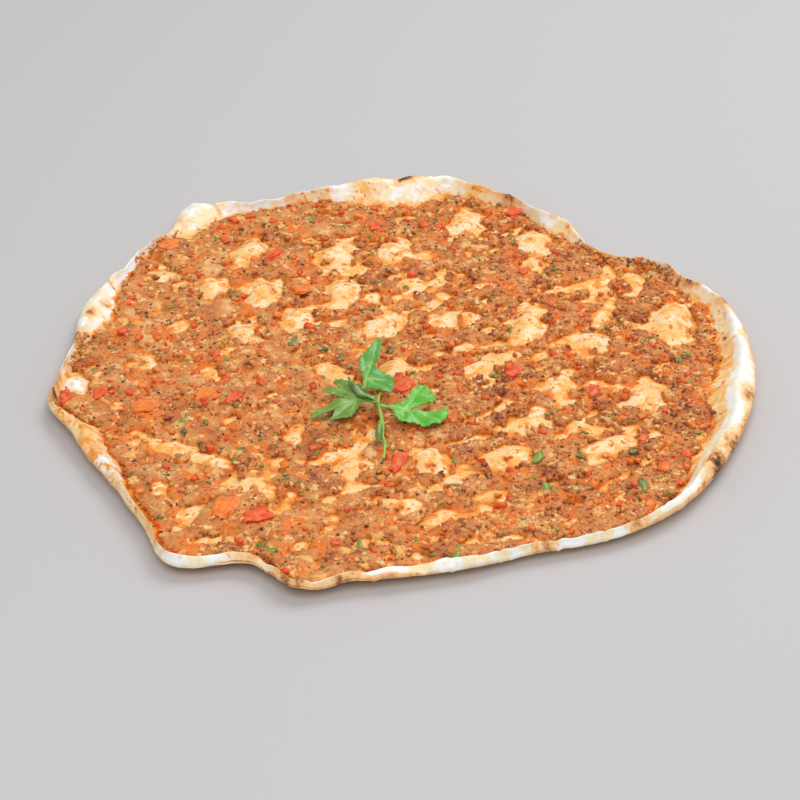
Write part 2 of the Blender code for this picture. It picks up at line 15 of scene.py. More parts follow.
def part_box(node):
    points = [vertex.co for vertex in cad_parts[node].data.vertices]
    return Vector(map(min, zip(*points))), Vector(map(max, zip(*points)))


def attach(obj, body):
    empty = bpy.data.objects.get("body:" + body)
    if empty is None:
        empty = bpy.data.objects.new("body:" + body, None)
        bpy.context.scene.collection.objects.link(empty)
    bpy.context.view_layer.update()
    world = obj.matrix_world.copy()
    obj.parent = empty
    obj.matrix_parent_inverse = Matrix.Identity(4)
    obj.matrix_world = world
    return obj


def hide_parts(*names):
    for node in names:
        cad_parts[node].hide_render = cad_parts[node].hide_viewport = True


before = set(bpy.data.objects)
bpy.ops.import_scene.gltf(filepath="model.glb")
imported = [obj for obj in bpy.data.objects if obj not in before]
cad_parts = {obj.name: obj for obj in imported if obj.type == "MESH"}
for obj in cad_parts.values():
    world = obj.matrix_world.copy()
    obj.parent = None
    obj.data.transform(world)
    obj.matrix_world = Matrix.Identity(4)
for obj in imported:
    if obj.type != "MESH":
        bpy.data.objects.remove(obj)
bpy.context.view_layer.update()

MM = 0.001

# The bread's outline, rim and blisters, as the solids have them
BREAD_HALF_WIDTH = 141.0
BREAD_HALF_DEPTH = 146.0
EDGE_STEPS = 120
DOUGH_THICKNESS = 3.2
DOUGH_WAVE = 1.2
DOUGH_WAVE_SIZE = 70.0
EDGE_SHAPES = [
    (27, -7, 6), (40, -17, 7), (49, -17, 7), (62, -9, 8), (86, 7, 9), (100, 3, 6),
    (128, 17, 6), (141, 4, 7), (176, -3, 7), (195, 5, 6), (228, 4, 6), (239, 19, 7),
    (256, 14, 6), (266, 3, 5), (288, -5, 10), (313, 3, 12),
]
RIM_WIDTHS = [
    (2, 13), (20, 8), (34, 3), (46, 3), (56, 9), (70, 4), (80, 9), (89, 21), (99, 15),
    (107, 5), (119, 4), (129, 18), (139, 3), (152, 5), (166, 14), (177, 4), (193, 3),
    (204, 12), (213, 10), (224, 4), (236, 3), (242, 7), (254, 4), (273, 8), (288, 3),
    (305, 4), (318, 8), (328, 13), (338, 13), (346, 19),
]
RIM_HEIGHTS = [
    (0, 11), (30, 9), (46, 7.5), (62, 9), (88, 11.5), (110, 9.5), (129, 9), (139, 7),
    (165, 9), (194, 8), (210, 9), (238, 8.5), (270, 8), (300, 8), (325, 10),
]
EDGE_LIFTS = [
    (0, 3), (46, 2), (88, 3.5), (129, 4), (165, 3), (194, 4), (238, 3), (254, 4.5),
    (290, 2.5), (320, 3.5),
]
RIM_LUMP = 0.9               # unevenness of the crest
RIM_LUMP_SIZE = 11.0
SHOULDER_IN = 0.62           # the rim's inner slope: share of its width, share of its rise
SHOULDER_UP = 0.55
CREST_IN = 0.30              # the crest: share of the rim's width, and a distance more
CREST_INSET = 0.5
OUTER_SLOPE = [(0.7, 0.74), (0.0, 0.42), (1.2, 0.10)]   # inward distance, share of the drop
FOOT_INSET = 6.0             # where the underside turns down to the table, and its share
FOOT_LIFT = 0.42             # of the edge's lift
CONTACT_INSET = 16.0         # the bread lies flat on the table inside this distance
BLISTER_RISE = 0.45          # dome height for each mm of half width
BLISTER_UNEVEN = 0.084       # swing of the outline in two lobes, then a smaller one in three
TWO_LOBES_TURN = 1.9
THREE_LOBES_SHARE = 0.7
THREE_LOBES_TURN = 2.7
# x, y, half length, half width, turn in degrees: first the solids' blisters, then small ones
BLISTERS = [
    (-84, 58, 8, 6, 90), (-70, 88, 12, 7, 74), (-62, 54, 12, 7.5, 87),
    (-31, 86, 14, 8, 65), (-28, 53, 12.5, 8, 77), (-46, 32, 10.5, 7, -86),
    (-67, 21, 11, 5.8, -55), (-9, 28, 11, 8, 44), (19, 32, 13, 5.5, 25),
    (-5, 89, 11, 7, -69), (-30, -11, 9.5, 5.5, -48), (-5, -8, 9, 6.5, 90),
    (27, 117, 14, 7.5, 88), (57, 98, 12, 7.5, 89), (51, 27, 17, 7.5, 78),
    (34, -5, 13, 6.4, 51), (76, 12, 8, 7, 60), (112, 29, 16, 9.5, 72),
    (61, -21, 10, 6.4, 73), (95, -28, 12, 7, 81), (46, -49, 9.5, 5.5, 13),
    (79, -64, 10, 7, 37), (8, -73, 9, 7, -39), (37, -71, 11.5, 7, 18),
    (-87, -67, 22, 5.4, -27), (-58, -89, 10.5, 4.2, -32), (-21, -78, 7, 6, -12),
    (-106, 69, 7, 3, -84), (-79, -12, 5.5, 3, -62), (-105, -5, 5, 3.2, -80),
    (57, 78, 5, 4.4, 77), (87, 61, 13, 3, 85), (99, 63, 8, 3.6, 88), (82, 32, 7, 3.8, 83),
    (70, -53, 7, 3.4, 0), (19, -86, 5, 3.4, 0), (31, -97, 5, 3, 0), (-3, -101, 7, 3.2, 0),
    (27, -106, 4, 3, 80), (13, -111, 8, 3, 27), (-80, -108, 6, 4, 27), (-43, -55, 7, 3, -87),
    (-92, -92, 4, 3, -8), (-53, -108, 4, 3, 0), (-14, -126, 5, 3, 0), (-44, -97, 4.5, 2.8, -26),
    (-13, -58, 5, 3, -89), (22, 8, 8, 3, 30), (3, 56, 9, 2.8, 50), (14, 66, 10, 2.4, 62),
    (-133.5, -20.5, 7.8, 6.2, 95), (-26, 70, 7, 2.6, 40), (62, 52, 6, 3, 70),
    (-97, 25, 6, 3.2, 80),
]
# The floury bubble at the left tip: x, y, radius
WHITE_BUBBLE = (-133.5, -20.5, 8.5)
WHITE_BUBBLE_FADE = 4.5

# The topping, the pepper pieces and the sprig, as the solids have them
GAP = 0.3
TOPPING_THICKNESS = 1.9
MINCE_BUMP = 1.5
MINCE_SIZE = 9.0
PEPPERS = [
    ("red", -135, -33, 7, 4.6, 100), ("red", -122, -31, 9.5, 4.5, 80),
    ("orange", -102.5, -40, 10.5, 8, 20), ("orange", -67, -108, 12, 8, 70),
    ("red", -55, -114, 10, 6.5, 20), ("orange", -105.5, 89.5, 8.5, 6.5, 45),
    ("red", -3.5, -80, 12, 4.8, 72), ("red", -58, 81, 10.5, 3.8, 60),
    ("red", 49, 121, 8, 6, 40), ("orange", -45, 51, 8.5, 6.5, 10),
    ("red", 74, -30, 8.8, 3.8, 75), ("red", -2, -26.5, 10, 8, 60),
    ("red", -14, 107, 8.8, 4.8, 80), ("red", 43, -16, 8, 4.8, 60),
    ("red", -68.5, -34, 8, 5, 65), ("orange", -79.5, -32, 8.5, 7.5, 15),
]
PEPPER_THICKNESS = 2.6
LAP_RISE = 1.5
LAP_REACH = 4.2
LEAFLETS = [
    ((11.0, -12, -46, 0.10, 0.10), [
        (-12, -45), (-16, -38.5), (-20.5, -36), (-22.5, -32), (-26.5, -29), (-29.5, -29.5),
        (-27, -34), (-31.5, -33), (-33.5, -35.5), (-27, -38), (-25, -39.5), (-28.5, -41.5),
        (-36.5, -47.5), (-37.5, -49), (-36.5, -51.5), (-28.5, -48), (-30, -53.5),
        (-24, -53), (-21, -52), (-19, -47.5), (-18, -44), (-15, -45.3)]),
    ((10.0, -17.5, -47, 0.0, 0.30), [
        (-18, -39), (-17, -35.5), (-18, -30.5), (-18.5, -26.5), (-18.5, -23), (-16.5, -20.5),
        (-14, -16), (-11.5, -12), (-10.5, -15), (-10.5, -18), (-11.5, -23), (-13, -27),
        (-9.5, -30), (-6, -32.5), (-5.5, -36), (-6.5, -40), (-11.5, -38.5), (-16, -37)]),
    ((10.0, -8, -49, -0.03, 0.12), [
        (-11, -45.2), (-7, -46.2), (-3, -45.8), (-0.5, -43.5), (1.5, -39), (4, -34.5),
        (7, -34), (9, -36.5), (11, -41), (9.5, -44.5), (4.5, -46), (1, -48.5), (9, -49.5),
        (13, -48.5), (15, -47), (16, -50.5), (13, -55), (7, -58.5), (4, -56),
        (-1.5, -56), (-3.5, -54.5), (-6, -48.5), (-9.5, -46.6)]),
]
# The left leaflet's folded-up half, painted in shade by its low tone, and a small leaf on the stem
SMALL_LEAVES = [
    ((12.6, -18, -41, 0.10, 0.30), [
        (-12.2, -44.6), (-16.5, -38.6), (-20.5, -35.6), (-23, -32.6), (-23.4, -35),
        (-22.2, -38.6), (-18.6, -42.6), (-14.5, -44.8)]),
    ((9.0, -11, -62, 0.30, 0.04), [
        (-10.2, -54), (-11.6, -58), (-12.4, -62), (-12.2, -65.5), (-10.6, -69.5),
        (-9.6, -67), (-9.4, -60)]),
]
# Ribs of each leaf: the foot, the heart, and the tips that its ribs run to
RIBS = [
    ((-12, -45), (-20, -41.5), [(-29, -30), (-33, -35.3), (-37, -50), (-29.5, -53), (-22, -52)]),
    ((-18, -39), (-16, -33), [(-11.3, -12.5), (-17.5, -23), (-6, -34), (-7, -39)]),
    ((-11, -45.8), (-1, -47.8), [(6, -34.5), (10, -41), (15.5, -48), (13, -55), (6.5, -58),
                                 (-2, -55)]),
    ((-12.2, -44.6), (-17, -41), [(-23, -33.6)]),
    ((-10, -54), (-10.6, -60), [(-11, -68)]),
]
# Each leaf's tone, in the order above; the folded-up half's low tone is painted shade
LEAF_TONES_AND_FOLD_SHADE = [0.30, 0.62, 0.92, 0.05, 0.12]
STEM = [(-12, -39, 9.6), (-11.5, -42, 9.8), (-10.5, -49, 9.2), (-9.5, -57.5, 8.6),
        (-9.5, -65, 8.2), (-8.5, -69, 8.1), (-9, -78.5, 7.9)]
STALK = [(-11.2, -46, 9.8), (-11.3, -42, 11), (-10.5, -38.5, 11.6), (-8.5, -34.5, 12.2),
         (-6, -30, 12.8)]
TOP_STALK = [(-11.3, -43.5, 10), (-15.5, -40.5, 11.4), (-18, -38.5, 12.3), (-14, -33.5, 14)]
STEM_RADIUS = 0.8

# Toasted spots on the rim: bearing, inward distance, radius, strength
TOASTED_SPOTS = [
    (90, 6, 5, 0.9), (86, 1, 4, 1.0), (94, 1, 4, 0.9), (168, 5, 3, 0.8), (163, 8, 3, 0.6),
    (27, 5, 5, 0.8), (24, 2, 4, 0.9), (193, 2, 6, 0.8), (189, 1, 4, 0.6), (184, 2, 4, 0.4),
    (176, 1, 5, 0.8), (325, 1, 6, 1.0), (331, 1, 5, 0.8), (5, 9, 3, 0.6), (70, 1, 5, 0.7),
    (60, 1, 4, 0.6), (112, 2, 3, 0.5), (255, 2, 6, 0.8), (262, 1, 5, 0.7), (248, 2, 4, 0.6),
    (232, 3, 5, 0.5), (290, 1, 5, 0.5), (305, 1, 4, 0.6), (15, 1, 6, 0.7), (345, 1, 6, 0.6),
]
# Share of the outer slope that is baked tan, by bearing
TAN_REACHES = [
    (0, 0.9), (20, 0.6), (45, 0.4), (62, 0.2), (88, 0.3), (110, 0.2), (129, -0.1),
    (150, 0.0), (170, 0.2), (190, 0.8), (215, 0.1), (228, 0.2), (240, -0.5), (250, 0.2),
    (256, 0.8), (268, 0.7), (276, -0.5), (298, -0.4), (312, 0.5), (325, 0.9), (350, 0.7),
]
# How white the rim is with flour, by bearing
FLOUR_SHARES = [
    (0, 0.88), (22, 0.48), (38, 0.25), (62, 0.55), (76, 0.40), (92, 0.50), (108, 0.42),
    (122, 0.85), (136, 0.36), (150, 0.70), (168, 0.60), (177, 0.35), (186, 0.65), (192, 0.00),
    (204, 0.15), (216, 0.50), (228, 0.05), (242, 0.66), (262, 0.62), (276, 0.66),
    (300, 0.75), (318, 0.85), (345, 1.00),
]
# Bubbles in the rim: bearing, inward distance, radius, height
RIM_BUBBLES = [
    (231, 7, 6, 1.6), (186, 6, 6, 2.0), (168, 8, 7, 1.2), (129, 9, 8, 1.2), (89, 12, 9, 1.4),
    (97, 8, 7, 1.2), (346, 9, 9, 1.6), (332, 7, 7, 1.2), (2, 7, 7, 1.4), (14, 6, 5, 1.0),
    (206, 6, 6, 1.0), (275, 5, 5, 1.0), (320, 5, 5, 0.8), (58, 5, 5, 0.8),
]
# Seams pinched across the rim: bearing, and how much they bend
RIM_SEAMS = [(3, 1.6), (125, -1.2), (157, 1.4), (210, 1.0), (235, -1.0), (328, 1.2)]
# Stretches of the edge where a folded-over lip shows two layers: bearing from, to
LAYERED_EDGES = [(196, 216), (243, 268), (318, 362), (372, 388)]

# The view: the camera looks along +Y and down at this angle
VIEW_DROP = 33.0
VIEW_DISTANCE = 850.0
VIEW_AIM = (-2.4, -24.7, 0.0)
LENS = 95.6

BREAD_STEPS = 640
INNER_RINGS = 84
RIM_RINGS = 40
OUTER_RINGS = 16
UNDER_RINGS = 6
SHEET_SPACING = 1.25
CRUMB_SPACING = 2.5
SEED = 7


def swell(x, y, size, layer):
    """Smooth noise from about -1 to 1, with lumps of the given size."""
    return noise.noise(Vector((x / size, y / size, layer)))


def ease(value):
    value = min(max(value, 0.0), 1.0)
    return value * value * (3.0 - 2.0 * value)


def uneven(waves, x, y):
    """Sum of waves of noise, each a strength, a size and a layer."""
    return sum(strength * swell(x, y, size, layer) for strength, size, layer in waves)


def degrees_past(bearing, middle):
    """How far a bearing is past another, from -180 to 180."""
    return (bearing - middle + 180.0) % 360.0 - 180.0


def hump(bearing, middle, spread):
    return math.exp(-((degrees_past(bearing, middle) / spread) ** 2))


def point_at(bearing, reach):
    turn = math.radians(bearing)
    return reach * math.cos(turn), reach * math.sin(turn)


def along_and_across(x, y, middle_x, middle_y, turn):
    """A point's place along and across a shape that lies turned about its middle."""
    turn = math.radians(turn)
    along = (x - middle_x) * math.cos(turn) + (y - middle_y) * math.sin(turn)
    across = (y - middle_y) * math.cos(turn) - (x - middle_x) * math.sin(turn)
    return along, across


def between(p0, p1, p2, p3, share):
    """A point on a smooth curve from p1 to p2, with the points before and after them."""
    return 0.5 * (2 * p1 + (p2 - p0) * share + (2 * p0 - 5 * p1 + 4 * p2 - p3) * share ** 2
                  + (3 * p1 - p0 - 3 * p2 + p3) * share ** 3)


def at_bearing(table, bearing):
    """Value at a bearing, eased between the table's entries all the way round."""
    bearing = (bearing - table[0][0]) % 360.0 + table[0][0]
    closed = table + [(table[0][0] + 360.0, table[0][1])]
    for (low, first), (high, second) in zip(closed, closed[1:]):
        if low <= bearing <= high:
            return first + (second - first) * ease((bearing - low) / (high - low))
    return table[0][1]


def edge_radius(bearing):
    turn = math.radians(bearing)
    across = BREAD_HALF_DEPTH * math.cos(turn)
    along = BREAD_HALF_WIDTH * math.sin(turn)
    oval = BREAD_HALF_WIDTH * BREAD_HALF_DEPTH / math.hypot(across, along)
    return oval + sum(push * hump(bearing, middle, spread)
                      for middle, push, spread in EDGE_SHAPES)


def bearing_of(x, y):
    return math.degrees(math.atan2(y, x)) % 360.0


# Edge radius and rim width for every quarter of a degree, to look up instead of work out
DEGREE_STEPS = 4
TABLE_STEPS = 360 * DEGREE_STEPS
EDGE_TABLE = [edge_radius(step / DEGREE_STEPS) for step in range(TABLE_STEPS)]
WIDTH_TABLE = [at_bearing(RIM_WIDTHS, step / DEGREE_STEPS) for step in range(TABLE_STEPS)]


def looked_up(table, bearing):
    place = (bearing % 360.0) * DEGREE_STEPS
    low = int(place) % TABLE_STEPS
    return table[low] + (table[(low + 1) % TABLE_STEPS] - table[low]) * (place - int(place))


def outline_middle():
    """Middle of the outline's box, which the solids put over the origin."""
    bearings = [step * 360.0 / EDGE_STEPS for step in range(EDGE_STEPS)]
    corners = [point_at(bearing, edge_radius(bearing)) for bearing in bearings]
    return [(min(c[axis] for c in corners) + max(c[axis] for c in corners)) / 2
            for axis in range(2)]


MIDDLE_X, MIDDLE_Y = outline_middle()


def dough_top(x, y):
    return DOUGH_THICKNESS + DOUGH_WAVE * swell(x, y, DOUGH_WAVE_SIZE, 1.7)


def blister_reach(index, angle):
    """Unevenness of a blister's outline, as a share of its size."""
    two_lobes = math.sin(2.0 * angle + TWO_LOBES_TURN * index)
    three_lobes = math.sin(3.0 * angle + THREE_LOBES_TURN * index)
    return 1.0 + BLISTER_UNEVEN * (two_lobes + THREE_LOBES_SHARE * three_lobes)


def blister_measure(index, x, y):
    """Below 1 inside a blister."""
    middle_x, middle_y, half_length, half_width, turn = BLISTERS[index]
    along, across = along_and_across(x, y, middle_x, middle_y, turn)
    reach = blister_reach(index, math.atan2(across / half_width, along / half_length))
    return math.hypot(along / (half_length * reach), across / (half_width * reach))


BLISTER_REACH = 9.0          # how far outside a blister its distance still counts
BLISTER_SPREAD = 0.9         # bare strip round a blister
DOME_SHARE = 0.85            # height and roundness of its dome, against the solids' dome
DOME_ROUNDNESS = 1.3
# Streaks where the topping is spread so thin that the dough shows
STREAK_COS = math.cos(math.radians(35.0))
STREAK_SIN = math.sin(math.radians(35.0))
STREAK_LENGTH = 15.0
STREAK_NARROWNESS = 2.3
STREAK_SCARCITY = 0.47
STREAK_EASING = 0.15         # how much less scarce they are from the middle rightwards
STREAK_EASED_OVER = 70.0
STREAK_SLOPE = 8.0
RIM_CLEARANCE = 9.0          # they fade out this near the rim
RIM_FADE = 7.0
# Waves of noise: strength, size, layer
RAGGED_EDGE = (3.8, 6.0, 3.1)
FINE_EDGE = (1.9, 2.8, 4.9)
DOUGH_SKIN = (0.16, 4.5, 6.1)
MINCE_GRAIN = [(0.45, 3.2, 9.4), (0.22, 1.7, 2.6)]
PEPPER_RAGS = (2.0, 3.4, 45.0)
PEPPER_INSET = 0.4
MINCE_DIP = 0.9              # deepest hollow in the mince
MINCE_SLOPE = 2.2            # how far in from its edge it is full height
MINCE_SUNK = 0.7             # how deep it goes under the dough past its edge


def blister_near(x, y):
    """How far inside the nearest blister a point is, in mm, and the dome's height there."""
    inside = -BLISTER_REACH
    dome = 0.0
    for index, blister in enumerate(BLISTERS):
        reach = blister[2] * 1.2 + BLISTER_REACH
        if abs(x - blister[0]) > reach or abs(y - blister[1]) > reach:
            continue
        measure = blister_measure(index, x, y)
        inside = max(inside, (1.0 - measure) * blister[3])
        if measure < 1.0:
            share = DOME_SHARE * (1.0 - measure ** 2) ** DOME_ROUNDNESS
            dome = max(dome, BLISTER_RISE * blister[3] * share)
    return inside, dome


def bareness(x, y, fineness=1.0):
    """Distance into bare dough from the topping's ragged edge, below 0 on the topping."""
    inside, _ = blister_near(x, y)
    bearing = bearing_of(x, y)
    rim = math.hypot(x, y) - looked_up(EDGE_TABLE, bearing) + looked_up(WIDTH_TABLE, bearing)
    along = x * STREAK_COS + y * STREAK_SIN
    across = (y * STREAK_COS - x * STREAK_SIN) * STREAK_NARROWNESS
    scarce = STREAK_SCARCITY - STREAK_EASING * ease((x + STREAK_EASED_OVER) / STREAK_EASED_OVER)
    streak = (swell(along, across, STREAK_LENGTH, 21.3) - scarce) * STREAK_SLOPE
    streak -= 5.0 * ease((rim + RIM_CLEARANCE) / RIM_FADE)
    ragged = uneven([RAGGED_EDGE], x, y) + fineness * uneven([FINE_EDGE], x, y)
    island = 4.0 * ease((swell(x, y, 5.0, 78.0) - 0.26) / 0.2)
    return max(inside + BLISTER_SPREAD - island, rim, streak) + ragged


def dough_surface(x, y):
    _, dome = blister_near(x, y)
    return dough_top(x, y) + dome + uneven([DOUGH_SKIN], x, y) * min(dome + 0.4, 1.0)


def topping_depth(x, y):
    """Thickness of the mince, sinking into the dough past its edge."""
    bare = bareness(x, y)
    if bare > 0.0:
        return -MINCE_SUNK * ease(bare / 0.9)
    bumps = max(MINCE_BUMP * swell(x, y, MINCE_SIZE, 5.3), -MINCE_DIP)
    bumps += uneven(MINCE_GRAIN, x, y)
    return ease(-bare / MINCE_SLOPE) * (GAP + TOPPING_THICKNESS + bumps)


def seat_height(x, y):
    return dough_top(x, y) + GAP + TOPPING_THICKNESS


def topping_top(x, y):
    height = dough_surface(x, y) + topping_depth(x, y)
    for place in PEPPERS:
        outside = outside_pepper(x, y, place)
        if outside < LAP_REACH:
            share = ease((outside + 0.9) / 1.6)
            lap = LAP_RISE * (1.0 - ease((outside - 0.6) / (LAP_REACH - 0.6)))
            seat = seat_height(place[1], place[2])
            height = seat * (1.0 - share) + (max(height, seat) + lap) * share
    return height


def outside_pepper(x, y, place):
    """Distance outside a large pepper piece's ragged sides, below 0 under it."""
    _, seat_x, seat_y, length, width, turn = place
    if abs(x - seat_x) > length + LAP_REACH or abs(y - seat_y) > length + LAP_REACH:
        return length
    along, across = along_and_across(x, y, seat_x, seat_y, turn)
    outside = max(abs(along) - length / 2, abs(across) - width / 2)
    return outside + PEPPER_INSET + uneven([PEPPER_RAGS], x, y)


def finish_mesh(name, shape, material):
    """Turn a bmesh in millimetres into a piece in metres, in the solids' frame."""
    bmesh.ops.translate(shape, vec=(-MIDDLE_X, -MIDDLE_Y, 0.0), verts=shape.verts)
    bmesh.ops.scale(shape, vec=(MM, MM, MM), verts=shape.verts)
    mesh = bpy.data.meshes.new(name)
    shape.to_mesh(mesh)
    shape.free()
    mesh.materials.append(material)
    mesh.shade_smooth()
    piece = bpy.data.objects.new(name, mesh)
    bpy.context.scene.collection.objects.link(piece)
    return piece


def join(shapes):
    """One bmesh of several."""
    whole = bmesh.new()
    for shape in shapes:
        holder = bpy.data.meshes.new("part")
        shape.to_mesh(holder)
        shape.free()
        whole.from_mesh(holder)
        bpy.data.meshes.remove(holder)
    return whole


def keep_in_box(piece, node):
    """Hold a piece's outermost points inside the box of the solid that it stands for."""
    low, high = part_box(node)
    for vert in piece.data.vertices:
        for axis in range(3):
            vert.co[axis] = min(max(vert.co[axis], low[axis]), high[axis])


# Materials


def new_group(name, inputs, outputs):
    """A node group with named inputs (name, kind, default) and outputs (name, kind)."""
    group = bpy.data.node_groups.new(name, "ShaderNodeTree")
    for label, kind, default in inputs:
        socket = group.interface.new_socket(label, in_out="INPUT", socket_type=kind)
        if default is not None:
            socket.default_value = default
    for label, kind in outputs:
        group.interface.new_socket(label, in_out="OUTPUT", socket_type=kind)
    start = group.nodes.new("NodeGroupInput")
    end = group.nodes.new("NodeGroupOutput")
    return group, start, end


def noise_node(tree, vector, scale, detail=3.0, roughness=0.55):
    node = tree.nodes.new("ShaderNodeTexNoise")
    set_input(tree, node.inputs["Detail"], detail)
    node.inputs["Roughness"].default_value = roughness
    tree.links.new(vector, node.inputs["Vector"])
    set_input(tree, node.inputs["Scale"], scale)
    return node.outputs["Fac"]


def set_input(tree, socket, value):
    """Link a socket to another, or give it a plain value."""
    if isinstance(value, bpy.types.NodeSocket):
        tree.links.new(value, socket)
    else:
        socket.default_value = value


def stretch(tree, value, low, high, first=0.0, second=1.0):
    node = tree.nodes.new("ShaderNodeMapRange")
    node.interpolation_type = "SMOOTHSTEP"
    set_input(tree, node.inputs["Value"], value)
    set_input(tree, node.inputs["From Min"], low)
    set_input(tree, node.inputs["From Max"], high)
    set_input(tree, node.inputs["To Min"], first)
    set_input(tree, node.inputs["To Max"], second)
    return node.outputs["Result"]


def sum_of(tree, first, second, operation="ADD"):
    node = tree.nodes.new("ShaderNodeMath")
    node.operation = operation
    set_input(tree, node.inputs[0], first)
    set_input(tree, node.inputs[1], second)
    return node.outputs[0]


def mix_colours(tree, factor, first, second, blend="MIX"):
    node = tree.nodes.new("ShaderNodeMix")
    node.data_type = "RGBA"
    node.blend_type = blend
    set_input(tree, node.inputs[0], factor)
    set_input(tree, node.inputs[6], first)
    set_input(tree, node.inputs[7], second)
    return node.outputs[2]


def rgba(red, green, blue):
    return (red, green, blue, 1.0)


def mottle_group():
    """Soft patches of a second colour over a first."""
    group, start, end = new_group(
        "mottle",
        [("Vector", "NodeSocketVector", None), ("Base", "NodeSocketColor", None),
         ("Patch", "NodeSocketColor", None), ("Scale", "NodeSocketFloat", 100.0),
         ("Low", "NodeSocketFloat", 0.45), ("High", "NodeSocketFloat", 0.65),
         ("Detail", "NodeSocketFloat", 4.0)],
        [("Color", "NodeSocketColor")])
    field = noise_node(group, start.outputs["Vector"], start.outputs["Scale"],
                       start.outputs["Detail"], 0.6)
    mask = stretch(group, field, start.outputs["Low"], start.outputs["High"])
    colour = mix_colours(group, mask, start.outputs["Base"], start.outputs["Patch"])
    group.links.new(colour, end.inputs["Color"])
    return group


def grain_group():
    """Height of fine lumps at two sizes, for a bump."""
    group, start, end = new_group(
        "grain",
        [("Vector", "NodeSocketVector", None), ("Coarse", "NodeSocketFloat", 400.0),
         ("Fine", "NodeSocketFloat", 1500.0), ("Share", "NodeSocketFloat", 0.4)],
        [("Height", "NodeSocketFloat")])
    coarse = noise_node(group, start.outputs["Vector"], start.outputs["Coarse"], 2.0)
    fine = noise_node(group, start.outputs["Vector"], start.outputs["Fine"], 2.0)
    part = sum_of(group, fine, start.outputs["Share"], "MULTIPLY")
    group.links.new(sum_of(group, coarse, part), end.inputs["Height"])
    return group


MOTTLE = mottle_group()
GRAIN = grain_group()


class Finish:
    """A Principled material that is built up colour by colour."""

    def __init__(self, name, roughness, specular=0.5, subsurface=0.0):
        self.material = bpy.data.materials.new(name)
        self.material.use_nodes = True
        self.tree = self.material.node_tree
        self.shader = self.tree.nodes["Principled BSDF"]
        self.shader.inputs["Roughness"].default_value = roughness
        self.shader.inputs["Specular IOR Level"].default_value = specular
        self.shader.inputs["Metallic"].default_value = 0.0
        self.place = self.tree.nodes.new("ShaderNodeTexCoord").outputs["Object"]
        if subsurface:
            self.shader.inputs["Subsurface Weight"].default_value = subsurface
            self.shader.inputs["Subsurface Scale"].default_value = 0.003

    def attribute(self, name):
        node = self.tree.nodes.new("ShaderNodeAttribute")
        node.attribute_name = name
        return node.outputs["Fac"]

    def mottle(self, base, patch, size, low, high, detail=4.0):
        node = self.tree.nodes.new("ShaderNodeGroup")
        node.node_tree = MOTTLE
        set_input(self.tree, node.inputs["Vector"], self.place)
        set_input(self.tree, node.inputs["Base"], base)
        set_input(self.tree, node.inputs["Patch"], patch)
        node.inputs["Scale"].default_value = 1.0 / (size * MM)
        node.inputs["Low"].default_value = low
        node.inputs["High"].default_value = high
        node.inputs["Detail"].default_value = detail
        return node.outputs["Color"]

    def ramp(self, value, stops):
        node = self.tree.nodes.new("ShaderNodeValToRGB")
        elements = node.color_ramp.elements
        elements[0].position, elements[0].color = stops[0]
        elements[1].position, elements[1].color = stops[-1]
        for position, colour in stops[1:-1]:
            elements.new(position).color = colour
        set_input(self.tree, node.inputs["Fac"], value)
        return node.outputs["Color"]

    def waver(self, size, detail, strength, roughness=0.55):
        """Noise that swings evenly either side of 0, in lumps of a size in millimetres."""
        field = noise_node(self.tree, self.place, 1.0 / (size * MM), detail, roughness)
        centred = sum_of(self.tree, field, 0.5, "SUBTRACT")
        return sum_of(self.tree, centred, strength, "MULTIPLY")

    def grain(self, coarse, fine, share, strength, distance=0.4):
        node = self.tree.nodes.new("ShaderNodeGroup")
        node.node_tree = GRAIN
        set_input(self.tree, node.inputs["Vector"], self.place)
        node.inputs["Coarse"].default_value = 1.0 / (coarse * MM)
        node.inputs["Fine"].default_value = 1.0 / (fine * MM)
        node.inputs["Share"].default_value = share
        bump = self.tree.nodes.new("ShaderNodeBump")
        bump.inputs["Strength"].default_value = strength
        bump.inputs["Distance"].default_value = distance * MM
        self.tree.links.new(node.outputs["Height"], bump.inputs["Height"])
        self.tree.links.new(bump.outputs["Normal"], self.shader.inputs["Normal"])

    def colour(self, value):
        set_input(self.tree, self.shader.inputs["Base Color"], value)
        return self.material


WHITE_FLOUR = rgba(0.92, 0.92, 0.88)
CREAM_FLOUR = rgba(0.92, 0.75, 0.45)
BURNT_FLECK = rgba(0.16, 0.09, 0.05)
PALE_DOUGH = rgba(0.91, 0.74, 0.45)
CREAM_DOUGH = rgba(0.90, 0.57, 0.23)
YELLOW_DOUGH = rgba(0.92, 0.46, 0.10)
LIGHT_STAIN = rgba(0.90, 0.36, 0.06)
ORANGE_STAIN = rgba(0.84, 0.26, 0.030)
DEEP_STAIN = rgba(0.68, 0.15, 0.025)
PEACH_CRUST = rgba(0.93, 0.63, 0.34)
TAN_CRUST = rgba(0.90, 0.49, 0.19)
BROWN_CRUST = rgba(0.40, 0.15, 0.045)
CHAR = rgba(0.055, 0.030, 0.018)
# The mince from dark to pale, by its tone, and what is mottled over it
MINCE_TONES = [
    (0.0, rgba(0.21, 0.050, 0.015)), (0.2, rgba(0.44, 0.118, 0.025)),
    (0.4, rgba(0.60, 0.190, 0.042)), (0.6, rgba(0.66, 0.240, 0.062)),
    (0.8, rgba(0.74, 0.325, 0.100)), (1.0, rgba(0.87, 0.52, 0.23)),
]
PEPPER_PASTE = rgba(0.80, 0.195, 0.022)
PALE_ONION = rgba(0.92, 0.54, 0.19)
WARM_ONION = rgba(0.90, 0.47, 0.13)
OLIVE_HERB = rgba(0.30, 0.19, 0.055)
DARK_GRAIN = rgba(0.24, 0.060, 0.025)
# Painted shade for the creases between the mince's grains
CREASE_SHADE = rgba(0.17, 0.055, 0.022)
BLACK_SPECK = rgba(0.07, 0.035, 0.025)
RED_OIL = rgba(0.84, 0.22, 0.022)
PEPPER_BROWNING = rgba(0.62, 0.20, 0.05)
PEPPER_RIPENESS = rgba(0.85, 0.30, 0.06)
LEAF_RIB = rgba(0.34, 0.60, 0.14)


